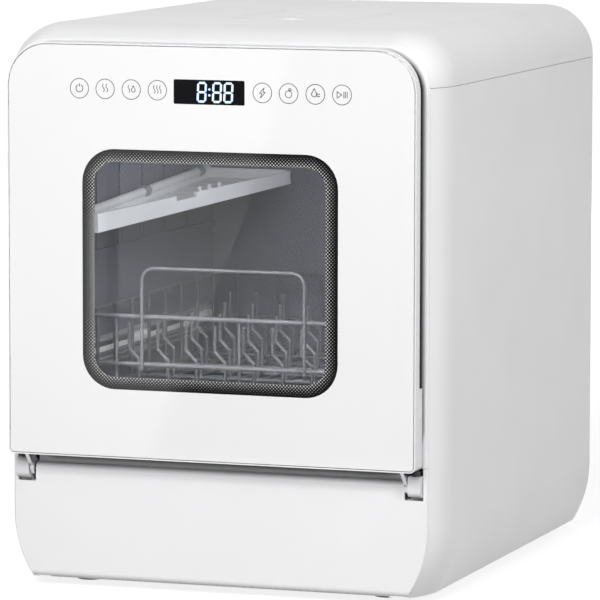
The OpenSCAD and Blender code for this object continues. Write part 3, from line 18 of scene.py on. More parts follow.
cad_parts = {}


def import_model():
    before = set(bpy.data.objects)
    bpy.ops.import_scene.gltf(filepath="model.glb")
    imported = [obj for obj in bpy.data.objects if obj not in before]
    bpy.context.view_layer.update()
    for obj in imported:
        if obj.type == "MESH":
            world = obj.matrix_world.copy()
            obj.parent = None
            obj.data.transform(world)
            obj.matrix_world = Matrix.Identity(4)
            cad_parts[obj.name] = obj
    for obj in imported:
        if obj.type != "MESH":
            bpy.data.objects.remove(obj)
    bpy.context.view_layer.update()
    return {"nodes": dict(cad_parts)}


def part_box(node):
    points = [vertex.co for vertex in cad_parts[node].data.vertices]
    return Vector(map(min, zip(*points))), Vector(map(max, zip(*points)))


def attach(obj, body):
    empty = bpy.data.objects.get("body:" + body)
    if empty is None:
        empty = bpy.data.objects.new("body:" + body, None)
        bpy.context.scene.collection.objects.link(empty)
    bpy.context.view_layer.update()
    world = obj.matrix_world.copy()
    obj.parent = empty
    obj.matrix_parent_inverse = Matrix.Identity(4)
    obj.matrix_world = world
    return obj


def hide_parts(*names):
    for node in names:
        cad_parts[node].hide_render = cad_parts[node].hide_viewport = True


log = logging.getLogger("dishwasher")

MM = 0.001

Colour = tuple[float, float, float]
Place = tuple[float, float, float]
Pair = tuple[float, float]


class Body(str, Enum):
    """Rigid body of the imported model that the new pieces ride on."""

    DOOR = "door"


class Symbol(Enum):
    """Pictograms of the touch panel, from left to right."""

    POWER = "power"
    TWO_WAVES = "two_waves"
    WAVE_AND_DROP = "wave_and_drop"
    THREE_WAVES = "three_waves"
    FLASH = "flash"
    FRUIT = "fruit"
    DROP_AND_WAVES = "drop_and_waves"
    PLAY_PAUSE = "play_pause"


# Node graphs


class Graph:
    """Small helper that adds and links shader nodes in one tree."""

    def __init__(self, tree: bpy.types.NodeTree) -> None:
        """Keeps the tree that nodes are added to."""
        self.tree = tree

    def node(
        self, kind: str, inputs: dict[str | int, object] | None = None, **settings: object
    ) -> bpy.types.Node:
        """Adds one node.

        Args:
            kind: Blender's node type name.
            inputs: values or output sockets, by input name or index.
            settings: attributes set on the node itself.

        Returns:
            The new node.
        """
        made = self.tree.nodes.new(kind)
        for name, value in settings.items():
            setattr(made, name, value)
        for name, value in (inputs or {}).items():
            self.feed(made.inputs[name], value)
        return made

    def feed(self, socket: bpy.types.NodeSocket, value: object) -> None:
        """Links value to the socket when it is an output, and sets it otherwise.

        Args:
            socket: the input that is fed.
            value: an output socket or a plain value.
        """
        if isinstance(value, bpy.types.NodeSocket):
            self.tree.links.new(value, socket)
        else:
            socket.default_value = value

    def math(self, operation: str, a: object, b: object = 0.0) -> bpy.types.NodeSocket:
        """Adds a Math node and returns its value socket."""
        return self.node("ShaderNodeMath", {0: a, 1: b}, operation=operation).outputs[0]

    def ramp(
        self, value: object, low: float, high: float, to_low: float = 0.0, to_high: float = 1.0
    ) -> bpy.types.NodeSocket:
        """Maps a value from one range to another, clamped.

        Args:
            value: what is mapped.
            low: start of its range.
            high: end of its range.
            to_low: result at the start.
            to_high: result at the end.

        Returns:
            The result's socket.
        """
        inputs = {0: value, 1: low, 2: high, 3: to_low, 4: to_high}
        return self.node("ShaderNodeMapRange", inputs, clamp=True).outputs[0]

    def mix(self, factor: object, a: object, b: object) -> bpy.types.NodeSocket:
        """Mixes two colours.

        Args:
            factor: how much of b shows, from 0 to 1.
            a: the first colour.
            b: the second colour.

        Returns:
            The colour's socket.
        """
        made = self.node("ShaderNodeMix", data_type="RGBA")
        for index, value in ((0, factor), (6, a), (7, b)):
            if isinstance(value, tuple) and len(value) == 3:
                value = (*value, 1.0)
            self.feed(made.inputs[index], value)
        return made.outputs[2]

    def position(self) -> bpy.types.NodeSocket:
        """Returns the Object coordinates socket."""
        return self.node("ShaderNodeTexCoord").outputs["Object"]

    def axes(self) -> list[bpy.types.NodeSocket]:
        """Returns Object coordinates as three sockets."""
        return list(self.node("ShaderNodeSeparateXYZ", {0: self.position()}).outputs)

    def placed(
        self, location: Sequence[float] = (0, 0, 0), scale: Sequence[float] = (1, 1, 1)
    ) -> bpy.types.NodeSocket:
        """Returns Object coordinates moved by location and stretched by scale."""
        inputs = {"Vector": self.position(), "Location": location, "Scale": scale}
        return self.node("ShaderNodeMapping", inputs).outputs[0]

    def noise(
        self, vector: object, scale: float, detail: float = 2.0, rough: float = 0.5
    ) -> bpy.types.NodeSocket:
        """Adds a noise texture and returns its value socket."""
        inputs = {"Vector": vector, "Scale": scale, "Detail": detail, "Roughness": rough}
        return self.node("ShaderNodeTexNoise", inputs).outputs["Fac"]

    def eye_rays(self) -> bpy.types.NodeSocket:
        """Returns 1 for what is seen, straight, in a reflection or through glass, and 0 for light."""
        path = self.node("ShaderNodeLightPath").outputs
        indirect = self.math("MAXIMUM", path["Is Glossy Ray"], path["Is Transmission Ray"])
        return self.math("MAXIMUM", path["Is Camera Ray"], indirect)


def make_group(
    name: str, inputs: dict[str, tuple[str, float]], outputs: dict[str, str]
) -> tuple[bpy.types.NodeTree, Graph, bpy.types.Node, bpy.types.Node]:
    """Creates an empty shader group with named sockets.

    Args:
        name: the group's name.
        inputs: socket type and default by input name; a vector has no default.
        outputs: socket type by output name.

    Returns:
        The group, a graph on it, its input node and its output node.
    """
    tree = bpy.data.node_groups.new(name, "ShaderNodeTree")
    for key, (kind, value) in inputs.items():
        made = tree.interface.new_socket(key, in_out="INPUT", socket_type=kind)
        if kind == "NodeSocketFloat":
            made.default_value = value
    for key, kind in outputs.items():
        tree.interface.new_socket(key, in_out="OUTPUT", socket_type=kind)
    return tree, Graph(tree), tree.nodes.new("NodeGroupInput"), tree.nodes.new("NodeGroupOutput")


@dataclass
class Effects:
    """Shared effects, each a node group built once."""

    groups: dict[str, bpy.types.NodeTree] = field(default_factory=dict)

    def moulded_grain(self) -> bpy.types.NodeTree:
        """Fine and coarse unevenness of moulded plastic.

        Returns:
            A group with Vector, Grain and Ripple in, and Height and Tone out.
        """
        if "grain" not in self.groups:
            inputs = {
                "Vector": ("NodeSocketVector", 0),
                "Grain": ("NodeSocketFloat", 900.0),
                "Ripple": ("NodeSocketFloat", 14.0),
            }
            outputs = {"Height": "NodeSocketFloat", "Tone": "NodeSocketFloat"}
            tree, g, source, sink = make_group("moulded_grain", inputs, outputs)
            vector = source.outputs["Vector"]
            fine = g.noise(vector, scale=source.outputs["Grain"], detail=2.0)
            slow = g.noise(vector, scale=source.outputs["Ripple"], detail=3.0)
            height = g.math("ADD", g.math("MULTIPLY", fine, 0.6), g.math("MULTIPLY", slow, 0.4))
            g.feed(sink.inputs["Height"], height)
            g.feed(sink.inputs["Tone"], g.ramp(slow, low=0.3, high=0.7))
            self.groups["grain"] = tree
        return self.groups["grain"]

    def settled_dust(self) -> bpy.types.NodeTree:
        """Thin dust where a surface faces up.

        Returns:
            A group with Vector and Amount in, and Mask out.
        """
        if "dust" not in self.groups:
            inputs = {"Vector": ("NodeSocketVector", 0), "Amount": ("NodeSocketFloat", 0.3)}
            tree, g, source, sink = make_group("settled_dust", inputs, {"Mask": "NodeSocketFloat"})
            normal = g.node("ShaderNodeNewGeometry").outputs["Normal"]
            facing = g.node("ShaderNodeSeparateXYZ", {0: normal}).outputs[2]
            up = g.ramp(facing, low=0.5, high=1.0)
            cloud = g.noise(source.outputs["Vector"], scale=55.0, detail=6.0, rough=0.7)
            speck = g.ramp(cloud, low=0.42, high=0.75)
            mask = g.math("MULTIPLY", g.math("MULTIPLY", up, speck), source.outputs["Amount"])
            g.feed(sink.inputs["Mask"], mask)
            self.groups["dust"] = tree
        return self.groups["dust"]

    def rounded_window(self) -> bpy.types.NodeTree:
        """Distance of a point to a rounded rectangle in the XZ plane, negative inside.

        Returns:
            A group with Vector, Half Width, Half Height and Radius in, and Distance out.
        """
        if "window" not in self.groups:
            sizes = ("Half Width", "Half Height", "Radius")
            inputs = {"Vector": ("NodeSocketVector", 0), **{key: ("NodeSocketFloat", 0.1) for key in sizes}}
            tree, g, source, sink = make_group("rounded_window", inputs, {"Distance": "NodeSocketFloat"})
            parts = g.node("ShaderNodeSeparateXYZ", {0: source.outputs["Vector"]})
            over = []
            for axis, half in ((0, "Half Width"), (2, "Half Height")):
                size = g.math("SUBTRACT", source.outputs[half], source.outputs["Radius"])
                over.append(g.math("SUBTRACT", g.math("ABSOLUTE", parts.outputs[axis]), size))
            outside = [g.math("POWER", g.math("MAXIMUM", value, 0.0), 2.0) for value in over]
            length = g.math("SQRT", g.math("ADD", *outside))
            inside = g.math("MINIMUM", g.math("MAXIMUM", *over), 0.0)
            distance = g.math("SUBTRACT", g.math("ADD", length, inside), source.outputs["Radius"])
            g.feed(sink.inputs["Distance"], distance)
            self.groups["window"] = tree
        return self.groups["window"]


EFFECTS = Effects()


def outline_distance(graph: Graph, half: Pair, level: float, radius: float) -> bpy.types.NodeSocket:
    """Measures how far a point lies outside a rounded rectangle on the machine's front.

    Args:
        graph: the nodes of the material.
        half: half of the rectangle's width and of its height.
        level: the height of its middle.
        radius: the radius of its corners.

    Returns:
        The distance, negative inside.
    """
    made = graph.node("ShaderNodeGroup", node_tree=EFFECTS.rounded_window())
    graph.feed(made.inputs["Vector"], graph.placed(location=(0, 0, -level)))
    for key, value in (("Half Width", half[0]), ("Half Height", half[1]), ("Radius", radius)):
        made.inputs[key].default_value = value
    return made.outputs["Distance"]


def shifted(colour: Colour, share: float) -> Colour:
    """Returns the colour with each of its parts multiplied by share."""
    return tuple(part * share for part in colour)


# Kinds of finish


class Finish:
    """Base of the finishes: makes a material once and hands it out again."""

    made: ClassVar[dict[str, bpy.types.Material]] = {}
    label: str

    def material(self) -> bpy.types.Material:
        """Builds the material on first use.

        Returns:
            The finish's material.
        """
        if self.label not in Finish.made:
            material = bpy.data.materials.new(self.label)
            material.use_nodes = True
            material.node_tree.nodes.clear()
            graph = Graph(material.node_tree)
            surface = graph.node("ShaderNodeBsdfPrincipled")
            out = graph.node("ShaderNodeOutputMaterial")
            graph.feed(out.inputs["Surface"], surface.outputs[0])
            self.shade(graph, surface)
            Finish.made[self.label] = material
        return Finish.made[self.label]

    def shade(self, graph: Graph, surface: bpy.types.Node) -> None:
        """Fills in the Principled surface; each finish has its own."""
        raise NotImplementedError

    @staticmethod
    def relief(graph: Graph, surface: bpy.types.Node, height: object, depth: float) -> None:
        """Adds a bump of the given depth in metres to the surface."""
        bump = graph.node("ShaderNodeBump", {"Height": height, "Distance": depth, "Strength": 1.0})
        graph.feed(surface.inputs["Normal"], bump.outputs[0])


@dataclass(frozen=True)
class MouldedPlastic(Finish):
    """Moulded plastic with grain, slow ripples and a little dust on top."""

    label: str
    colour: Colour
    rough: float = 0.38
    rough_swing: Pair = (-0.03, 0.04)
    coat: float = 0.0
    coat_rough: float = 0.08
    grain: float = 900.0
    depth: float = 2e-5
    dust: float = 0.0
    dust_colour: Colour = (0.62, 0.6, 0.57)
    tint: float = 0.04

    def shade(self, graph: Graph, surface: bpy.types.Node) -> None:
        """Colours the plastic, with its tone shifted a little by slow ripples.

        Args:
            graph: the nodes of the material.
            surface: its Principled node.
        """
        place = graph.position()
        grain = graph.node("ShaderNodeGroup", node_tree=EFFECTS.moulded_grain())
        graph.feed(grain.inputs["Vector"], place)
        graph.feed(grain.inputs["Grain"], self.grain)
        tone = grain.outputs["Tone"]
        colour = graph.mix(tone, self.colour, shifted(self.colour, 1 - self.tint))
        if self.dust:
            dust = graph.node("ShaderNodeGroup", node_tree=EFFECTS.settled_dust())
            graph.feed(dust.inputs["Vector"], place)
            graph.feed(dust.inputs["Amount"], self.dust)
            colour = graph.mix(dust.outputs["Mask"], colour, self.dust_colour)
        graph.feed(surface.inputs["Base Color"], colour)
        smooth, dull = (self.rough + swing for swing in self.rough_swing)
        graph.feed(surface.inputs["Roughness"], graph.ramp(tone, 0, 1, smooth, dull))
        surface.inputs["Coat Weight"].default_value = self.coat
        surface.inputs["Coat Roughness"].default_value = self.coat_rough
        self.relief(graph, surface, grain.outputs["Height"], self.depth)


@dataclass(frozen=True)
class PaintedShadeFrame(MouldedPlastic):
    """White moulded frame with painted shade round the shut door's back edge, where the gap lies in the
    door's shadow.

    A reach is how far the darkest part of the painted shade goes out from the door's outline.
    """

    half: Pair = (0.17725, 0.17125)
    middle: float = 0.28475
    radius: float = 0.035
    reach_round: float = -0.0032
    reach_right: float = -0.0018
    reach_below: float = 0.0045
    right_start: Pair = (0.164, 0.1775)
    below_end: Pair = (-0.002, 0.004)
    hidden: Pair = (-0.0055, -0.0035)
    fade: float = 0.004
    dark: Colour = (0.03, 0.03, 0.032)

    def shade(self, graph: Graph, surface: bpy.types.Node) -> None:
        """Shades the plastic, then paints the door's shadow on it next to the door, most of all on the right
        and below.

        Args:
            graph: the nodes of the material.
            surface: its Principled node.
        """
        super().shade(graph, surface)
        distance = outline_distance(graph, self.half, self.middle, self.radius)
        across, _, up = graph.axes()
        beside = graph.ramp(across, *self.right_start, self.reach_round, self.reach_right)
        foot = self.middle - self.half[1]
        low, high = (foot + offset for offset in self.below_end)
        reach = graph.math("MAXIMUM", beside, graph.ramp(up, low, high, self.reach_below, self.reach_round))
        # Painted shade: darkest up to the reach from the door's outline, then fading to the plastic's
        # colour; what the door hides stays plain.
        outer = graph.ramp(graph.math("SUBTRACT", distance, reach), 0.0, self.fade)
        light = graph.math("MAXIMUM", outer, graph.ramp(distance, *self.hidden, 1.0, 0.0))
        plastic = surface.inputs["Base Color"].links[0].from_socket
        graph.feed(surface.inputs["Base Color"], graph.mix(light, self.dark, plastic))


@dataclass(frozen=True)
class BrushedMetal(Finish):
    """Metal brushed along one axis."""

    label: str
    colour: Colour
    stretch: Place = (20.0, 900.0, 900.0)
    rough: float = 0.3
    rough_swing: Pair = (-0.08, 0.12)
    dull: float = 0.86
    depth: float = 8e-6

    def shade(self, graph: Graph, surface: bpy.types.Node) -> None:
        """Draws the brush lines as roughness and relief.

        Args:
            graph: the nodes of the material.
            surface: its Principled node.
        """
        lines = graph.noise(graph.placed(scale=self.stretch), scale=1.0, detail=4.0, rough=0.6)
        stain = graph.ramp(graph.noise(graph.position(), scale=30.0, detail=3.0), low=0.4, high=0.8)
        colour = graph.mix(stain, self.colour, shifted(self.colour, self.dull))
        graph.feed(surface.inputs["Base Color"], colour)
        surface.inputs["Metallic"].default_value = 1.0
        smooth, dull = (self.rough + swing for swing in self.rough_swing)
        graph.feed(surface.inputs["Roughness"], graph.ramp(lines, 0.2, 0.8, smooth, dull))
        self.relief(graph, surface, lines, self.depth)


@dataclass(frozen=True)
class Rubber(Finish):
    """Matt rubber with a fine tooth."""

    label: str
    colour: Colour
    bloom: float = 0.03
    rough: Pair = (0.62, 0.8)
    tooth: float = 1500.0
    depth: float = 3e-5

    def shade(self, graph: Graph, surface: bpy.types.Node) -> None:
        """Shades the rubber with bloom in patches.

        Args:
            graph: the nodes of the material.
            surface: its Principled node.
        """
        patch = graph.noise(graph.position(), scale=40.0, detail=4.0)
        bloom = graph.ramp(patch, low=0.45, high=0.8, to_high=0.6)
        paler = tuple(part + self.bloom for part in self.colour)
        graph.feed(surface.inputs["Base Color"], graph.mix(bloom, self.colour, paler))
        graph.feed(surface.inputs["Roughness"], graph.ramp(bloom, 0, 1, *self.rough))
        self.relief(graph, surface, graph.noise(graph.position(), scale=self.tooth), self.depth)


@dataclass(frozen=True)
class CircuitBoard(Finish):
    """Green board with copper tracks under the lacquer."""

    label: str = "circuit_board"
    lacquer: Colour = (0.012, 0.09, 0.04)
    track: Colour = (0.05, 0.24, 0.1)
    cells: float = 130.0
    rough: float = 0.35
    coat: float = 0.5
    depth: float = 3e-5

    def shade(self, graph: Graph, surface: bpy.types.Node) -> None:
        """Draws tracks as bands of a stepped cell pattern.

        Args:
            graph: the nodes of the material.
            surface: its Principled node.
        """
        inputs = {"Vector": graph.position(), "Scale": self.cells}
        style = {"distance": "MANHATTAN", "feature": "DISTANCE_TO_EDGE"}
        cells = graph.node("ShaderNodeTexVoronoi", inputs, **style)
        track = graph.ramp(cells.outputs["Distance"], low=0.05, high=0.08, to_low=1.0, to_high=0.0)
        graph.feed(surface.inputs["Base Color"], graph.mix(track, self.lacquer, self.track))
        surface.inputs["Roughness"].default_value = self.rough
        surface.inputs["Coat Weight"].default_value = self.coat
        self.relief(graph, surface, track, self.depth)


@dataclass(frozen=True)
class ClearGlass(Finish):
    """Clear glass that lets the lamps through and has a faint film of wiping marks."""

    label: str = "clear_glass"
    tint: Colour = (0.97, 0.985, 0.98)
    ior: float = 1.3
    wipe: Place = (1, 1, 0.35)
    rough: float = 0.02

    def shade(self, graph: Graph, surface: bpy.types.Node) -> None:
        """Makes plain glass whose surface is smeared very slightly.

        Args:
            graph: the nodes of the material.
            surface: its Principled node.
        """
        smear = graph.noise(graph.placed(scale=self.wipe), scale=22.0, detail=5.0, rough=0.65)
        graph.feed(surface.inputs["Roughness"], graph.ramp(smear, 0.45, 0.85, 0.0, self.rough))
        surface.inputs["Base Color"].default_value = (*self.tint, 1.0)
        surface.inputs["Transmission Weight"].default_value = 1.0
        surface.inputs["IOR"].default_value = self.ior
        shade = graph.node("ShaderNodeLightPath").outputs["Is Shadow Ray"]
        graph.feed(surface.inputs["Alpha"], graph.math("SUBTRACT", 1.0, shade))


@dataclass(frozen=True)
class WhitePrint(Finish):
    """White enamel on the front glass: smooth, glossy and hardly uneven."""

    label: str = "white_print"
    colour: Colour = (0.87, 0.87, 0.873)
    cloudy: float = 0.988
    rough: Pair = (0.05, 0.07)

    def shade(self, graph: Graph, surface: bpy.types.Node) -> None:
        """Shades the enamel with a very slight cloudiness.

        Args:
            graph: the nodes of the material.
            surface: its Principled node.
        """
        cloud = graph.ramp(graph.noise(graph.position(), scale=9.0, detail=3.0), low=0.35, high=0.7)
        colour = graph.mix(cloud, self.colour, shifted(self.colour, self.cloudy))
        graph.feed(surface.inputs["Base Color"], colour)
        graph.feed(surface.inputs["Roughness"], graph.ramp(cloud, 0, 1, *self.rough))


@dataclass(frozen=True)
class DottedBorder(Finish):
    """Dark border printed round the window: a solid line, then dots that grow inwards."""

    label: str = "dotted_border"
    window: Pair = (0.222, 0.1985)
    window_z: float = 0.27025
    radius: float = 0.028
    border: float = 0.0105
    line: float = 0.0018
    pitch: float = 0.0029
    limits: Pair = (0.12, 0.8)
    ink: Colour = (0.012, 0.012, 0.013)
    dot_tones: Pair = (0.6, 0.1)
    rough: float = 0.08

    def shade(self, graph: Graph, surface: bpy.types.Node) -> None:
        """Leaves the outer line solid and sets pale dots in the ink, larger and lighter inwards.

        Args:
            graph: the nodes of the material.
            surface: its Principled node.
        """
        half = (self.window[0] / 2, self.window[1] / 2)
        distance = outline_distance(graph, half, self.window_z, self.radius)
        across, _, up = graph.axes()
        turns = 2 * math.pi / self.pitch
        waves = [graph.math("SINE", graph.math("MULTIPLY", axis, turns)) for axis in (across, up)]
        limit = graph.ramp(distance, -self.border, -self.line, *self.limits)
        dot = graph.math("GREATER_THAN", graph.math("MULTIPLY", *waves), limit)
        dot = graph.math("MULTIPLY", dot, graph.math("LESS_THAN", distance, -self.line))
        inner, outer = ((tone, tone, tone) for tone in self.dot_tones)
        pale = graph.mix(graph.ramp(distance, -self.border, -self.line), inner, outer)
        graph.feed(surface.inputs["Base Color"], graph.mix(dot, self.ink, pale))
        surface.inputs["Roughness"].default_value = self.rough


@dataclass(frozen=True)
class DisplayBlack(Finish):
    """Deep black face of the display."""

    label: str = "display_black"
    darkest: Colour = (0.004, 0.004, 0.005)
    lightest: Colour = (0.008, 0.008, 0.01)
    rough: float = 0.3
    shine: float = 0.05

    def shade(self, graph: Graph, surface: bpy.types.Node) -> None:
        """Shades a black plate with a trace of grain.

        Args:
            graph: the nodes of the material.
            surface: its Principled node.
        """
        tone = graph.noise(graph.position(), scale=400.0)
        graph.feed(surface.inputs["Base Color"], graph.mix(tone, self.darkest, self.lightest))
        surface.inputs["Roughness"].default_value = self.rough
        surface.inputs["Specular IOR Level"].default_value = self.shine


@dataclass(frozen=True)
class LitSegment(Finish):
    """Glowing bar of a digit."""

    label: str = "lit_segment"
    strength: float = 1.3
    unlit: Colour = (0.02, 0.03, 0.05)
    edge: Colour = (0.55, 0.75, 1.0)
    core: Colour = (0.75, 0.88, 1.0)

    def shade(self, graph: Graph, surface: bpy.types.Node) -> None:
        """Makes the bar glow bluish white, a little unevenly.

        Args:
            graph: the nodes of the material.
            surface: its Principled node.
        """
        glow = graph.ramp(graph.noise(graph.position(), scale=900.0), low=0.3, high=0.7)
        surface.inputs["Base Color"].default_value = (*self.unlit, 1)
        graph.feed(surface.inputs["Emission Color"], graph.mix(glow, self.edge, self.core))
        surface.inputs["Emission Strength"].default_value = self.strength


@dataclass(frozen=True)
class GreyInk(Finish):
    """Screen-printed grey line."""

    label: str = "grey_ink"
    colour: Colour = (0.09, 0.09, 0.1)
    mottled: float = 1.25
    rough: float = 0.25

    def shade(self, graph: Graph, surface: bpy.types.Node) -> None:
        """Shades the ink with a slight mottle.

        Args:
            graph: the nodes of the material.
            surface: its Principled node.
        """
        mottle = graph.noise(graph.position(), scale=1200.0)
        colour = graph.mix(mottle, self.colour, shifted(self.colour, self.mottled))
        graph.feed(surface.inputs["Base Color"], colour)
        surface.inputs["Roughness"].default_value = self.rough


# Finishes of this machine


SHELL = MouldedPlastic("shell_white", (0.86, 0.86, 0.87), rough=0.34, coat=0.15, dust=0.08, tint=0.02)
# The frame round the door opening, with painted shade along the shut door's edge.
FRAME_WITH_PAINTED_SHADE = PaintedShadeFrame("frame_white_painted_shade", (0.86, 0.86, 0.87), rough=0.34, tint=0.02)
DOOR_TRIM = MouldedPlastic("door_trim_white", (0.87, 0.87, 0.88), rough=0.25, coat=0.3, tint=0.015)
INNER_WHITE = MouldedPlastic("inner_white", (0.74, 0.74, 0.75), rough=0.5, tint=0.05)
TUB_GREY = MouldedPlastic("tub_grey", (0.15, 0.15, 0.19), rough=0.42, grain=140.0, depth=4e-6, tint=0.06)
SHELF_LILAC = MouldedPlastic("shelf_lilac", (0.7, 0.7, 0.74), rough=0.36, tint=0.04)
GREY_PLASTIC = MouldedPlastic("grey_plastic", (0.32, 0.33, 0.36), rough=0.42, tint=0.08)
DARK_PLASTIC = MouldedPlastic("dark_plastic", (0.03, 0.03, 0.034), rough=0.46, tint=0.2, dust=0.1)
TANK_MILKY = MouldedPlastic("tank_milky", (0.66, 0.72, 0.78), rough=0.3, coat=0.2, tint=0.08)
FILTER_BLUE = MouldedPlastic("filter_blue", (0.12, 0.26, 0.46), rough=0.4, tint=0.1)
WIRE = MouldedPlastic("satin_wire", (0.1, 0.1, 0.115), rough=0.4, grain=300.0, depth=4e-5, tint=0.08)
STEEL = BrushedMetal("brushed_steel", (0.62, 0.62, 0.63))
BLACK_RUBBER = Rubber("black_rubber", (0.02, 0.02, 0.02))
GREY_RUBBER = Rubber("grey_rubber", (0.12, 0.12, 0.13))
PALE_RUBBER = Rubber("pale_rubber", (0.5, 0.5, 0.51))

WEARERS: tuple[tuple[Finish, tuple[str, ...]], ...] = (
    (SHELL, ("top_cover", "left_side_panel", "right_side_panel", "front_plinth", "fill_lid")),
    (FRAME_WITH_PAINTED_SHADE, ("front_frame",)),
    (INNER_WHITE, ("back_panel", "base_tray", "fill_funnel", "door_liner", "basket_runners")),
    (INNER_WHITE, ("left_hinge_bracket", "right_hinge_bracket")),
    (DOOR_TRIM, ("door_frame",)),
    (TUB_GREY, ("tub",)),
    (SHELF_LILAC, ("side_shelf",)),
    (GREY_PLASTIC, ("left_rail", "right_rail", "spray_hub", "spray_arm")),
    (GREY_PLASTIC, ("drain_pump", "drain_port", "shelf_brackets")),
    (DARK_PLASTIC, ("sump", "wash_pump", "inlet_port", "power_gland")),
    (DARK_PLASTIC, ("fan_housing", "dry_fan", "door_lock")),
    (TANK_MILKY, ("water_tank", "fill_duct")),
    (FILTER_BLUE, ("filter_cup",)),
    (WIRE, ("basket_floor", "basket_front", "basket_back", "basket_left", "basket_right")),
    (WIRE, ("basket_tines",)),
    (STEEL, ("case_screws", "door_screws", "lid_pin", "hinge_pins", "shelf_pin")),
    (STEEL, ("filter_plate", "heater", "latch_hook", "left_hinge_arm", "right_hinge_arm")),
    (BLACK_RUBBER, ("hoses", "hinge_bumpers")),
    (GREY_RUBBER, ("tub_gasket",)),
    (PALE_RUBBER, ("feet", "window_seal")),
    (CircuitBoard(), ("power_board", "control_board")),
    (ClearGlass(), ("door_glass", "window_pane")),
    (DisplayBlack(), ("display_module",)),
)


# Mesh helpers


ROUND_STEPS = 10
RIM_STEPS = 2
SAME_PLANE = 1e-7
SHARP_ANGLE = 1.0


def new_piece(
    name: str, mesh: bmesh.types.BMesh, finish: Finish, body: Body
) -> bpy.types.Object:
    """Turns a bmesh into a finished piece that rides on a body.

    Args:
        name: the piece's name.
        mesh: its geometry, in the row frame.
        finish: what it is made of.
        body: the body it moves with.

    Returns:
        The new object.
    """
    bmesh.ops.recalc_face_normals(mesh, faces=mesh.faces)
    data = bpy.data.meshes.new(name)
    mesh.to_mesh(data)
    mesh.free()
    data.materials.append(finish.material())
    piece = bpy.data.objects.new(name, data)
    bpy.context.scene.collection.objects.link(piece)
    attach(piece, body.value)
    log.info("%s: %d faces on %s", name, len(data.polygons), body.value)
    return piece


def rounded_sheet(
    mesh: bmesh.types.BMesh, low: Vector, high: Vector, top: float, foot: float
) -> list[bmesh.types.BMFace]:
    """Adds an upright rounded rectangle that faces -Y, at the depth of low.

    Args:
        mesh: the mesh that it is added to.
        low: its lowest corner.
        high: its highest corner.
        top: radius of its upper corners.
        foot: radius of its lower corners.

    Returns:
        The new faces.
    """
    before = set(mesh.faces)
    corners = bmesh.ops.create_grid(mesh, x_segments=1, y_segments=1, size=0.5)["verts"]
    turn = Matrix.Rotation(math.radians(90), 4, "X")
    size = Matrix.Diagonal((high.x - low.x, 1.0, high.z - low.z, 1.0))
    level = (low.z + high.z) / 2
    middle = Matrix.Translation(((low.x + high.x) / 2, low.y, level))
    bmesh.ops.transform(mesh, matrix=middle @ size @ turn, verts=corners)
    upper = [v for v in corners if v.co.z > level]
    lower = [v for v in corners if v.co.z < level]
    for picked, radius in ((upper, top), (lower, foot)):
        bmesh.ops.bevel(mesh, geom=picked, offset=radius, offset_type="OFFSET", segments=ROUND_STEPS,
                        profile=0.5, affect="VERTICES", material=-1)
    return [face for face in mesh.faces if face not in before]


def rounded_outline(
    mesh: bmesh.types.BMesh, low: Vector, high: Vector, top: float, foot: float
) -> list[bmesh.types.BMEdge]:
    """Adds the edges alone of an upright rounded rectangle, at the depth of low.

    Args:
        mesh: the mesh that it is added to.
        low: its lowest corner.
        high: its highest corner.
        top: radius of its upper corners.
        foot: radius of its lower corners.

    Returns:
        The new edges.
    """
    faces = rounded_sheet(mesh, low, high, top, foot)
    edges = list({edge for face in faces for edge in face.edges})
    bmesh.ops.delete(mesh, geom=faces, context="FACES_ONLY")
    return edges


def thicken(mesh: bmesh.types.BMesh, faces: Iterable[bmesh.types.BMFace], depth: float) -> None:
    """Gives flat faces a depth along +Y and closes the sides.

    Args:
        mesh: the mesh that holds them.
        faces: the faces.
        depth: how far they are drawn out.
    """
    made = bmesh.ops.extrude_face_region(mesh, geom=list(faces))
    lifted = [v for v in made["geom"] if isinstance(v, bmesh.types.BMVert)]
    bmesh.ops.translate(mesh, verts=lifted, vec=(0, depth, 0))


def soften(mesh: bmesh.types.BMesh, y: float, width: float) -> None:
    """Bevels the sharp edges that lie in an upright plane.

    Args:
        mesh: the mesh that holds them.
        y: the plane's depth.
        width: the bevel's width.
    """
    edges = [
        edge for edge in mesh.edges
        if all(abs(v.co.y - y) < SAME_PLANE for v in edge.verts) and len(edge.link_faces) == 2
        and edge.calc_face_angle(0.0) > SHARP_ANGLE
    ]
    bmesh.ops.bevel(mesh, geom=edges, offset=width, offset_type="OFFSET", segments=RIM_STEPS,
                    profile=0.5, affect="EDGES", material=-1)


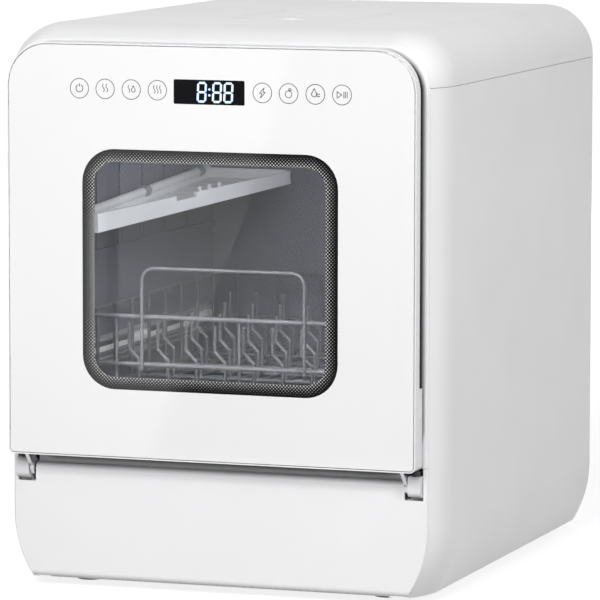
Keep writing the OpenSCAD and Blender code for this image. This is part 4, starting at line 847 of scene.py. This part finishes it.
@dataclass
class FrontPrint:
    """Draws flat strokes and shapes in the plane of the door's front, at a depth along Y."""

    y: float
    thickness: float = 0.00012
    overlap: float = 0.35
    arc_step: float = 9.0
    fewest_steps: int = 6
    mesh: bmesh.types.BMesh = field(default_factory=bmesh.new)

    def stroke(self, points: Sequence[Pair], width: float, closed: bool = False) -> None:
        """Adds a line of constant width.

        Args:
            points: corners of the line, as (x, z).
            width: the line's width.
            closed: joins the last corner to the first.
        """
        corners = list(points) + ([points[0]] if closed else [])
        for start, end in zip(corners, corners[1:]):
            run = Vector((end[0] - start[0], 0, end[1] - start[1]))
            middle = Vector(((start[0] + end[0]) / 2, self.y, (start[1] + end[1]) / 2))
            turn = Matrix.Rotation(-math.atan2(run.z, run.x), 4, "Y")
            size = Matrix.Diagonal((run.length + width * self.overlap, self.thickness, width, 1))
            bmesh.ops.create_cube(self.mesh, size=1.0, matrix=Matrix.Translation(middle) @ turn @ size)

    def ring(
        self, centre: Pair, radius: float, width: float, start: float = 0.0, sweep: float = 360.0
    ) -> None:
        """Adds a circle or an arc of constant width about centre.

        Args:
            centre: (x, z) of its middle.
            radius: the radius of its centre line.
            width: the line's width.
            start: where the arc starts, in degrees from +X.
            sweep: how far it goes, in degrees.
        """
        full = sweep >= 360.0
        near, far = radius - width / 2, radius + width / 2
        deep = self.thickness / 2
        section = ((near, -deep), (far, -deep), (far, deep), (near, deep))
        corners = [self.mesh.verts.new((centre[0] + out, self.y + back, centre[1])) for out, back in section]
        face = self.mesh.faces.new(corners)
        about = Vector((centre[0], 0, centre[1]))
        turn = Matrix.Rotation(-math.radians(start), 3, "Y")
        bmesh.ops.rotate(self.mesh, verts=corners, cent=about, matrix=turn)
        geometry = corners + list(face.edges) + ([] if full else [face])
        if full:
            self.mesh.faces.remove(face)
            geometry = corners + list({edge for corner in corners for edge in corner.link_edges})
        steps = max(self.fewest_steps, int(sweep / self.arc_step))
        bmesh.ops.spin(self.mesh, geom=geometry, cent=about, axis=(0, 1, 0), angle=-math.radians(sweep),
                       steps=steps, use_merge=full, use_duplicate=False)

    def plate(self, outline: Sequence[Pair]) -> None:
        """Adds a filled shape with the given outline, as (x, z)."""
        base = [self.mesh.verts.new((x, self.y - self.thickness / 2, z)) for x, z in outline]
        thicken(self.mesh, [self.mesh.faces.new(base)], self.thickness)


# Door front


@dataclass
class FrontGlass:
    """The door's front pane, the white print on it and the dotted border of its window.

    A set value is how far a layer's face lies behind the face of the plain glass, and pane_short
    is how far the pane's back lies in front of the plain glass's back.
    """

    corner: float = 0.0339
    foot: float = 0.0039
    rim: float = 0.0004
    window: DottedBorder = field(default_factory=DottedBorder)
    display: Pair = (0.0615, 0.0202)
    display_z: float = 0.418
    display_corner: float = 0.0012
    display_set: float = 0.00015
    display_depth: float = 0.0002
    display_gap: float = 0.00005
    print_in: float = 0.0006
    print_set: float = 0.0001
    print_depth: float = 0.0003
    border_set: float = 0.00012
    border_gap: float = 0.0001
    pane_short: float = 0.0002

    def build(self) -> None:
        """Makes pane, print, display film and border in place of the plain glass."""
        low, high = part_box("door_glass")
        self.pane(low, high)
        self.lay_print(low, high)
        self.display_film(low)
        self.window_border(low)

    def pane(self, low: Vector, high: Vector) -> None:
        """Makes the clear pane behind the print.

        Args:
            low: lowest corner of the plain glass.
            high: its highest corner.
        """
        mesh = bmesh.new()
        front = Vector((low.x, low.y + self.print_set + self.print_depth, low.z))
        faces = rounded_sheet(mesh, front, high, self.corner, self.foot)
        thicken(mesh, faces, high.y - front.y - self.pane_short)
        soften(mesh, front.y, self.rim)
        piece = new_piece("front_pane", mesh, ClearGlass(), Body.DOOR)
        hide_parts("door_glass")

    def opening(
        self, mesh: bmesh.types.BMesh, size: Pair, z: float, radius: float, y: float
    ) -> list[bmesh.types.BMEdge]:
        """Draws a rounded outline in the middle of the front.

        Args:
            mesh: the mesh that it is added to.
            size: its width and height.
            z: the height of its middle.
            radius: the radius of its corners.
            y: its depth.

        Returns:
            Its edges.
        """
        low = Vector((-size[0] / 2, y, z - size[1] / 2))
        high = Vector((size[0] / 2, y, z + size[1] / 2))
        return rounded_outline(mesh, low, high, radius, radius)

    def lay_print(self, low: Vector, high: Vector) -> None:
        """Lays the white print on the pane, open at the window and the display.

        Args:
            low: lowest corner of the plain glass.
            high: its highest corner.
        """
        mesh = bmesh.new()
        y = low.y + self.print_set
        start = Vector((low.x + self.print_in, y, low.z + self.print_in))
        end = Vector((high.x - self.print_in, y, high.z - self.print_in))
        edges = rounded_outline(mesh, start, end, self.corner - self.print_in, self.foot - self.print_in)
        edges += self.opening(mesh, self.window.window, self.window.window_z, self.window.radius, y)
        edges += self.opening(mesh, self.display, self.display_z, self.display_corner, y)
        bmesh.ops.triangle_fill(mesh, use_beauty=True, edges=edges, normal=(0, -1, 0))
        thicken(mesh, mesh.faces[:], self.print_depth)
        new_piece("front_print", mesh, WhitePrint(), Body.DOOR)

    def display_film(self, low: Vector) -> None:
        """Fills the display's place in the print with a tinted black film.

        Args:
            low: lowest corner of the plain glass.
        """
        mesh = bmesh.new()
        w, h = (size / 2 - self.display_gap for size in self.display)
        start = Vector((-w, low.y + self.display_set, self.display_z - h))
        end = Vector((w, start.y, self.display_z + h))
        radius = self.display_corner - self.display_gap
        thicken(mesh, rounded_sheet(mesh, start, end, radius, radius), self.display_depth)
        new_piece("display_film", mesh, DisplayBlack(), Body.DOOR)

    def window_border(self, low: Vector) -> None:
        """Lays the dotted border round the window, in the plane of the print.

        Args:
            low: lowest corner of the plain glass.
        """
        mesh = bmesh.new()
        y = low.y + self.border_set
        edges = []
        for inset in (self.border_gap, self.window.border):
            size = tuple(side - 2 * inset for side in self.window.window)
            edges += self.opening(mesh, size, self.window.window_z, self.window.radius - inset, y)
        bmesh.ops.bridge_loops(mesh, edges=edges)
        thicken(mesh, mesh.faces[:], self.print_depth - self.border_gap)
        new_piece("window_border", mesh, self.window, Body.DOOR)


@dataclass
class SymbolPen:
    """Draws one pictogram about its own middle, in millimetres."""

    sheet: FrontPrint
    middle: Pair
    line: float
    wave_steps: int = 10

    def spot(self, point: Pair) -> Pair:
        """Returns where a point of the pictogram lies on the door's front."""
        return self.middle[0] + point[0] * MM, self.middle[1] + point[1] * MM

    def stroke(self, points: Sequence[Pair], closed: bool = False, weight: float = 1.0) -> None:
        """Adds a line through the points."""
        self.sheet.stroke([self.spot(point) for point in points], self.line * weight, closed)

    def ring(self, centre: Pair, radius: float, weight: float = 1.0, **arc: float) -> None:
        """Adds a circle, or the arc given by start and sweep in degrees."""
        self.sheet.ring(self.spot(centre), radius * MM, self.line * weight, **arc)

    def wave(self, centre: Pair, height: float, sway: float) -> None:
        """Adds an upright wavy line.

        Args:
            centre: its middle.
            height: its height.
            sway: how far it swings to each side.
        """
        shares = [step / self.wave_steps for step in range(self.wave_steps + 1)]
        self.stroke([
            (centre[0] + sway * math.sin(2 * math.pi * share), centre[1] + height * (share - 0.5))
            for share in shares
        ])

    def drop(self, centre: Pair, radius: float, tip: float = 2.1) -> None:
        """Adds a water drop.

        Args:
            centre: middle of its round end.
            radius: radius of its round end.
            tip: height of its tip over the middle, in radii.
        """
        angles = [math.radians(angle) for angle in range(-220, 41, 20)]
        arc = [(centre[0] + radius * math.cos(a), centre[1] + radius * math.sin(a)) for a in angles]
        self.stroke([*arc, (centre[0], centre[1] + tip * radius)], closed=True)

    def draw(self, symbol: Symbol) -> None:
        """Draws a symbol of the touch panel.

        Args:
            symbol: which one.
        """
        if symbol is Symbol.POWER:
            self.ring((0, 0), 3.0, weight=1.2, start=115, sweep=310)
            self.stroke([(0, 1.6), (0, 4.0)], weight=1.2)
        elif symbol is Symbol.TWO_WAVES:
            for across in (-1.5, 1.5):
                self.wave((across, 0.8), height=6.5, sway=0.8)
        elif symbol is Symbol.WAVE_AND_DROP:
            self.wave((-2.0, 0.6), height=6.0, sway=0.7)
            self.drop((1.8, -0.4), radius=1.7)
        elif symbol is Symbol.THREE_WAVES:
            for across in (-2.6, 0, 2.6):
                self.wave((across, 0.6), height=6.5, sway=0.7)
        elif symbol is Symbol.FLASH:
            bolt = [(1.6, 4.2), (-2.6, -0.4), (-0.4, -0.4), (-1.6, -4.2), (2.6, 0.6), (0.4, 0.6)]
            self.stroke(bolt, closed=True)
        elif symbol is Symbol.FRUIT:
            self.ring((0, -0.6), 2.8)
            self.stroke([(0, 2.2), (0.4, 4.2)])
            self.ring((1.4, 3.2), 0.9)
        elif symbol is Symbol.DROP_AND_WAVES:
            self.drop((-1.0, 0), radius=2.2)
            for up in (-1.6, 0.2):
                self.stroke([(0.6 + 0.4 * i, up + 0.5 * math.sin(0.9 * i)) for i in range(9)])
        elif symbol is Symbol.PLAY_PAUSE:
            self.stroke([(-4.2, 2.6), (-4.2, -2.6), (-0.2, 0)], closed=True)
            for across in (1.6, 3.0, 4.4):
                self.stroke([(across, 2.6), (across, -2.6)])


@dataclass
class TouchPanel:
    """The printed touch symbols on the front glass."""

    places: tuple[float, ...] = (-0.1132, -0.0906, -0.0677, -0.0449, 0.046, 0.0685, 0.0914, 0.1141)
    height: float = 0.4187
    radius: float = 0.00805
    line: float = 0.0006
    back: float = 0.00007

    def build(self) -> None:
        """Draws every symbol in its ring on the face of the glass."""
        low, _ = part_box("door_glass")
        sheet = FrontPrint(y=low.y + self.back)
        for symbol, x in zip(Symbol, self.places):
            sheet.ring((x, self.height), self.radius, self.line)
            SymbolPen(sheet, (x, self.height), self.line).draw(symbol)
        new_piece("touch_symbols", sheet.mesh, GreyInk(), Body.DOOR)


@dataclass
class DigitDisplay:
    """Three lit digits and a colon that shine through the black film."""

    level: float = 0.418
    height: float = 0.0152
    width: float = 0.0066
    places: tuple[float, ...] = (-0.0063, 0.0069, 0.0167)
    bar: float = 0.0018
    gap: float = 0.00025
    lean: float = 0.04
    colon: float = 0.0003
    colon_rise: float = 0.0024
    dot: float = 0.55
    dot_sides: int = 8
    back: float = 0.00008

    def build(self) -> None:
        """Draws the digits and the colon on the film's face."""
        low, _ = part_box("door_glass")
        sheet = FrontPrint(y=low.y + self.back)
        for x in self.places:
            self.digit(sheet, x)
        for rise in (-self.colon_rise, self.colon_rise):
            self.colon_dot(sheet, self.level + rise)
        new_piece("display_digits", sheet.mesh, LitSegment(), Body.DOOR)

    def colon_dot(self, sheet: FrontPrint, z: float) -> None:
        """Draws one dot of the colon at height z."""
        radius = self.bar * self.dot
        angles = [2 * math.pi * side / self.dot_sides for side in range(self.dot_sides)]
        sheet.plate([(self.colon + radius * math.cos(a), z + radius * math.sin(a)) for a in angles])

    def digit(self, sheet: FrontPrint, x: float) -> None:
        """Draws an eight, one bar at a time.

        Args:
            sheet: what it is drawn on.
            x: the middle of its place.
        """
        h, w = self.height / 2, self.width / 2
        level_bars = [((-w, z), (w, z)) for z in (h, 0, -h)]
        upright_bars = [((side, z), (side, z + h)) for z in (0, -h) for side in (-w, w)]
        for start, end in level_bars + upright_bars:
            self.segment(sheet, x, Vector(start), Vector(end))

    def segment(self, sheet: FrontPrint, x: float, a: Vector, b: Vector) -> None:
        """Draws one pointed bar, leaning a little to the right.

        Args:
            sheet: what it is drawn on.
            x: the middle of the digit's place.
            a: where the bar starts, about the digit's middle.
            b: where it ends.
        """
        along = (b - a).normalized()
        across = Vector((-along.y, along.x)) * self.bar / 2
        start = a + along * (self.bar / 2 + self.gap)
        end = b - along * (self.bar / 2 + self.gap)
        tip = along * self.bar / 2
        corners = [start - tip, start - across, end - across, end + tip, end + across, start + across]
        sheet.plate([(x + c.x + self.lean * c.y, self.level + c.y) for c in corners])


@dataclass
class CadDressing:
    """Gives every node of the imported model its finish."""

    wearers: tuple[tuple[Finish, tuple[str, ...]], ...]

    def apply(self, nodes: dict[str, bpy.types.Object]) -> None:
        """Assigns the finishes.

        Args:
            nodes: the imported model's objects by name.

        Raises:
            KeyError: when a node has no finish.
        """
        finishes = {name: finish for finish, names in self.wearers for name in names}
        for name, node in nodes.items():
            material = finishes[name].material()
            node.data.materials.clear()
            node.data.materials.append(material)
            log.info("%s wears %s", name, material.name)


# Stage


def facing(place: Place, target: Place) -> Matrix:
    """Returns the matrix that stands a camera or lamp at place and aims it at target."""
    aim = (Vector(target) - Vector(place)).to_track_quat("-Z", "Y").to_matrix().to_4x4()
    return Matrix.Translation(place) @ aim


@dataclass(frozen=True)
class Softbox:
    """Rectangular soft light that faces a point and can be hidden from kinds of rays."""

    name: str
    place: Place
    size: Pair
    power: float
    aim_at: Place = (0.0, 0.0, 0.24)
    hidden_from: tuple[str, ...] = ()

    def build(self) -> None:
        """Adds the light to the scene."""
        data = bpy.data.lights.new(self.name, "AREA")
        data.shape = "RECTANGLE"
        data.size, data.size_y = self.size
        data.energy = self.power
        lamp = bpy.data.objects.new(self.name, data)
        lamp.matrix_world = facing(self.place, self.aim_at)
        bpy.context.scene.collection.objects.link(lamp)
        for rays in self.hidden_from:
            setattr(lamp, f"visible_{rays}", False)


@dataclass
class Studio:
    """Camera, floor and soft light."""

    camera_at: Place = (1.3860, -4.0146, 0.6989)
    looks_at: Place = (0.0786, -0.237, 0.2512)
    lens: float = 297.4
    sensor: float = 36.0
    roll: float = 0.096
    far_clip: float = 50.0
    world: float = 0.12
    floor_size: float = 12.0
    floor_tone: float = 0.3
    near_lift: float = 0.84
    far_lift: float = 1.0
    lift_range: Pair = (0.5, 3.5)
    flag_y: float = -1.0
    flag_tone: float = 0.02
    flag: tuple[Pair, ...] = (
        (-0.16, 0.53), (-0.1962, 0.4045), (-0.2425, 0.2422), (-0.2894, 0.1271),
        (-0.3582, -0.0353), (0.35, -0.0353), (0.35, 0.53),
    )
    lamps: tuple[Softbox, ...] = (
        Softbox("key_softbox", (0.0, -3.1, 2.04), (1.4, 1.4), 100.0),
        Softbox("side_softbox", (2.63, -1.22, 1.02), (0.9, 1.6), 40.0),
        Softbox("rear_fill", (-1.6, 3.0, 0.6), (1.2, 0.9), 60.0, hidden_from=("glossy",)),
        Softbox("inner_light", (0.03, -0.03, 0.432), (0.2, 0.26), 0.9, aim_at=(-0.02, 0.02, 0.16),
                hidden_from=("camera", "glossy", "transmission")),
    )

    def camera(self) -> None:
        """Places the camera at the photograph's viewpoint."""
        data = bpy.data.cameras.new("photo_camera")
        data.lens = self.lens
        data.sensor_width = self.sensor
        data.clip_end = self.far_clip
        camera = bpy.data.objects.new("photo_camera", data)
        roll = Matrix.Rotation(math.radians(self.roll), 4, "Z")
        camera.matrix_world = facing(self.camera_at, self.looks_at) @ roll
        bpy.context.scene.collection.objects.link(camera)
        bpy.context.scene.camera = camera

    def surroundings(self) -> None:
        """Sets a plain pale world that shows as white behind the machine."""
        world = bpy.data.worlds.new("pale_world")
        world.use_nodes = True
        world.node_tree.nodes.clear()
        graph = Graph(world.node_tree)
        strength = graph.ramp(graph.eye_rays(), 0, 1, self.world, 1.0)
        back = graph.node("ShaderNodeBackground", {"Color": (1, 1, 1, 1), "Strength": strength})
        out = graph.node("ShaderNodeOutputWorld")
        graph.feed(out.inputs["Surface"], back.outputs[0])
        bpy.context.scene.world = world

    def plain(self, name: str, tone: float, lifted: bool = False) -> bpy.types.Material:
        """Makes a plain grey stage material.

        Args:
            name: the material's name.
            tone: how light its grey is.
            lifted: makes it brighter where it is seen, most of all far away.

        Returns:
            The material.
        """
        material = bpy.data.materials.new(name)
        material.use_nodes = True
        material.node_tree.nodes.clear()
        graph = Graph(material.node_tree)
        matt = {"Base Color": (tone, tone, tone, 1), "Roughness": 0.9, "Specular IOR Level": 0.0}
        surface = graph.node("ShaderNodeBsdfPrincipled", matt)
        if lifted:
            length = graph.node("ShaderNodeVectorMath", {0: graph.position()}, operation="LENGTH")
            lift = graph.ramp(length.outputs["Value"], *self.lift_range, self.near_lift, self.far_lift)
            surface.inputs["Emission Color"].default_value = (1, 1, 1, 1)
            strength = graph.math("MULTIPLY", graph.eye_rays(), lift)
            graph.feed(surface.inputs["Emission Strength"], strength)
        out = graph.node("ShaderNodeOutputMaterial")
        graph.feed(out.inputs["Surface"], surface.outputs[0])
        return material

    def stage_piece(
        self, name: str, mesh: bmesh.types.BMesh, material: bpy.types.Material
    ) -> bpy.types.Object:
        """Links a piece of the stage.

        Args:
            name: the piece's name.
            mesh: its geometry.
            material: what it is made of.

        Returns:
            The new object.
        """
        data = bpy.data.meshes.new(name)
        mesh.to_mesh(data)
        mesh.free()
        data.materials.append(material)
        piece = bpy.data.objects.new(name, data)
        bpy.context.scene.collection.objects.link(piece)
        return piece

    def floor(self) -> None:
        """Lays a plain pale floor that keeps the machine's shadow."""
        mesh = bmesh.new()
        bmesh.ops.create_grid(mesh, x_segments=1, y_segments=1, size=self.floor_size)
        self.stage_piece("studio_floor", mesh, self.plain("studio_floor", self.floor_tone, lifted=True))

    def dark_flag(self) -> None:
        """Stands up a dark card that shows only in reflections."""
        mesh = bmesh.new()
        mesh.faces.new([mesh.verts.new((x, self.flag_y, z)) for x, z in self.flag])
        card = self.stage_piece("dark_flag", mesh, self.plain("dark_flag", self.flag_tone))
        for rays in ("camera", "diffuse", "shadow", "transmission"):
            setattr(card, f"visible_{rays}", False)

    def build(self) -> None:
        """Sets up everything round the machine."""
        self.camera()
        self.surroundings()
        self.floor()
        self.dark_flag()
        for lamp in self.lamps:
            lamp.build()
        bpy.context.scene.view_settings.view_transform = "Standard"


def main() -> None:
    """Builds the scene in order and reports each piece."""
    logging.basicConfig(level=logging.INFO, format="%(name)s: %(message)s")
    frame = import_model()
    Studio().build()
    CadDressing(WEARERS).apply(frame["nodes"])
    FrontGlass().build()
    TouchPanel().build()
    DigitDisplay().build()


if __name__ == "__main__":
    main()
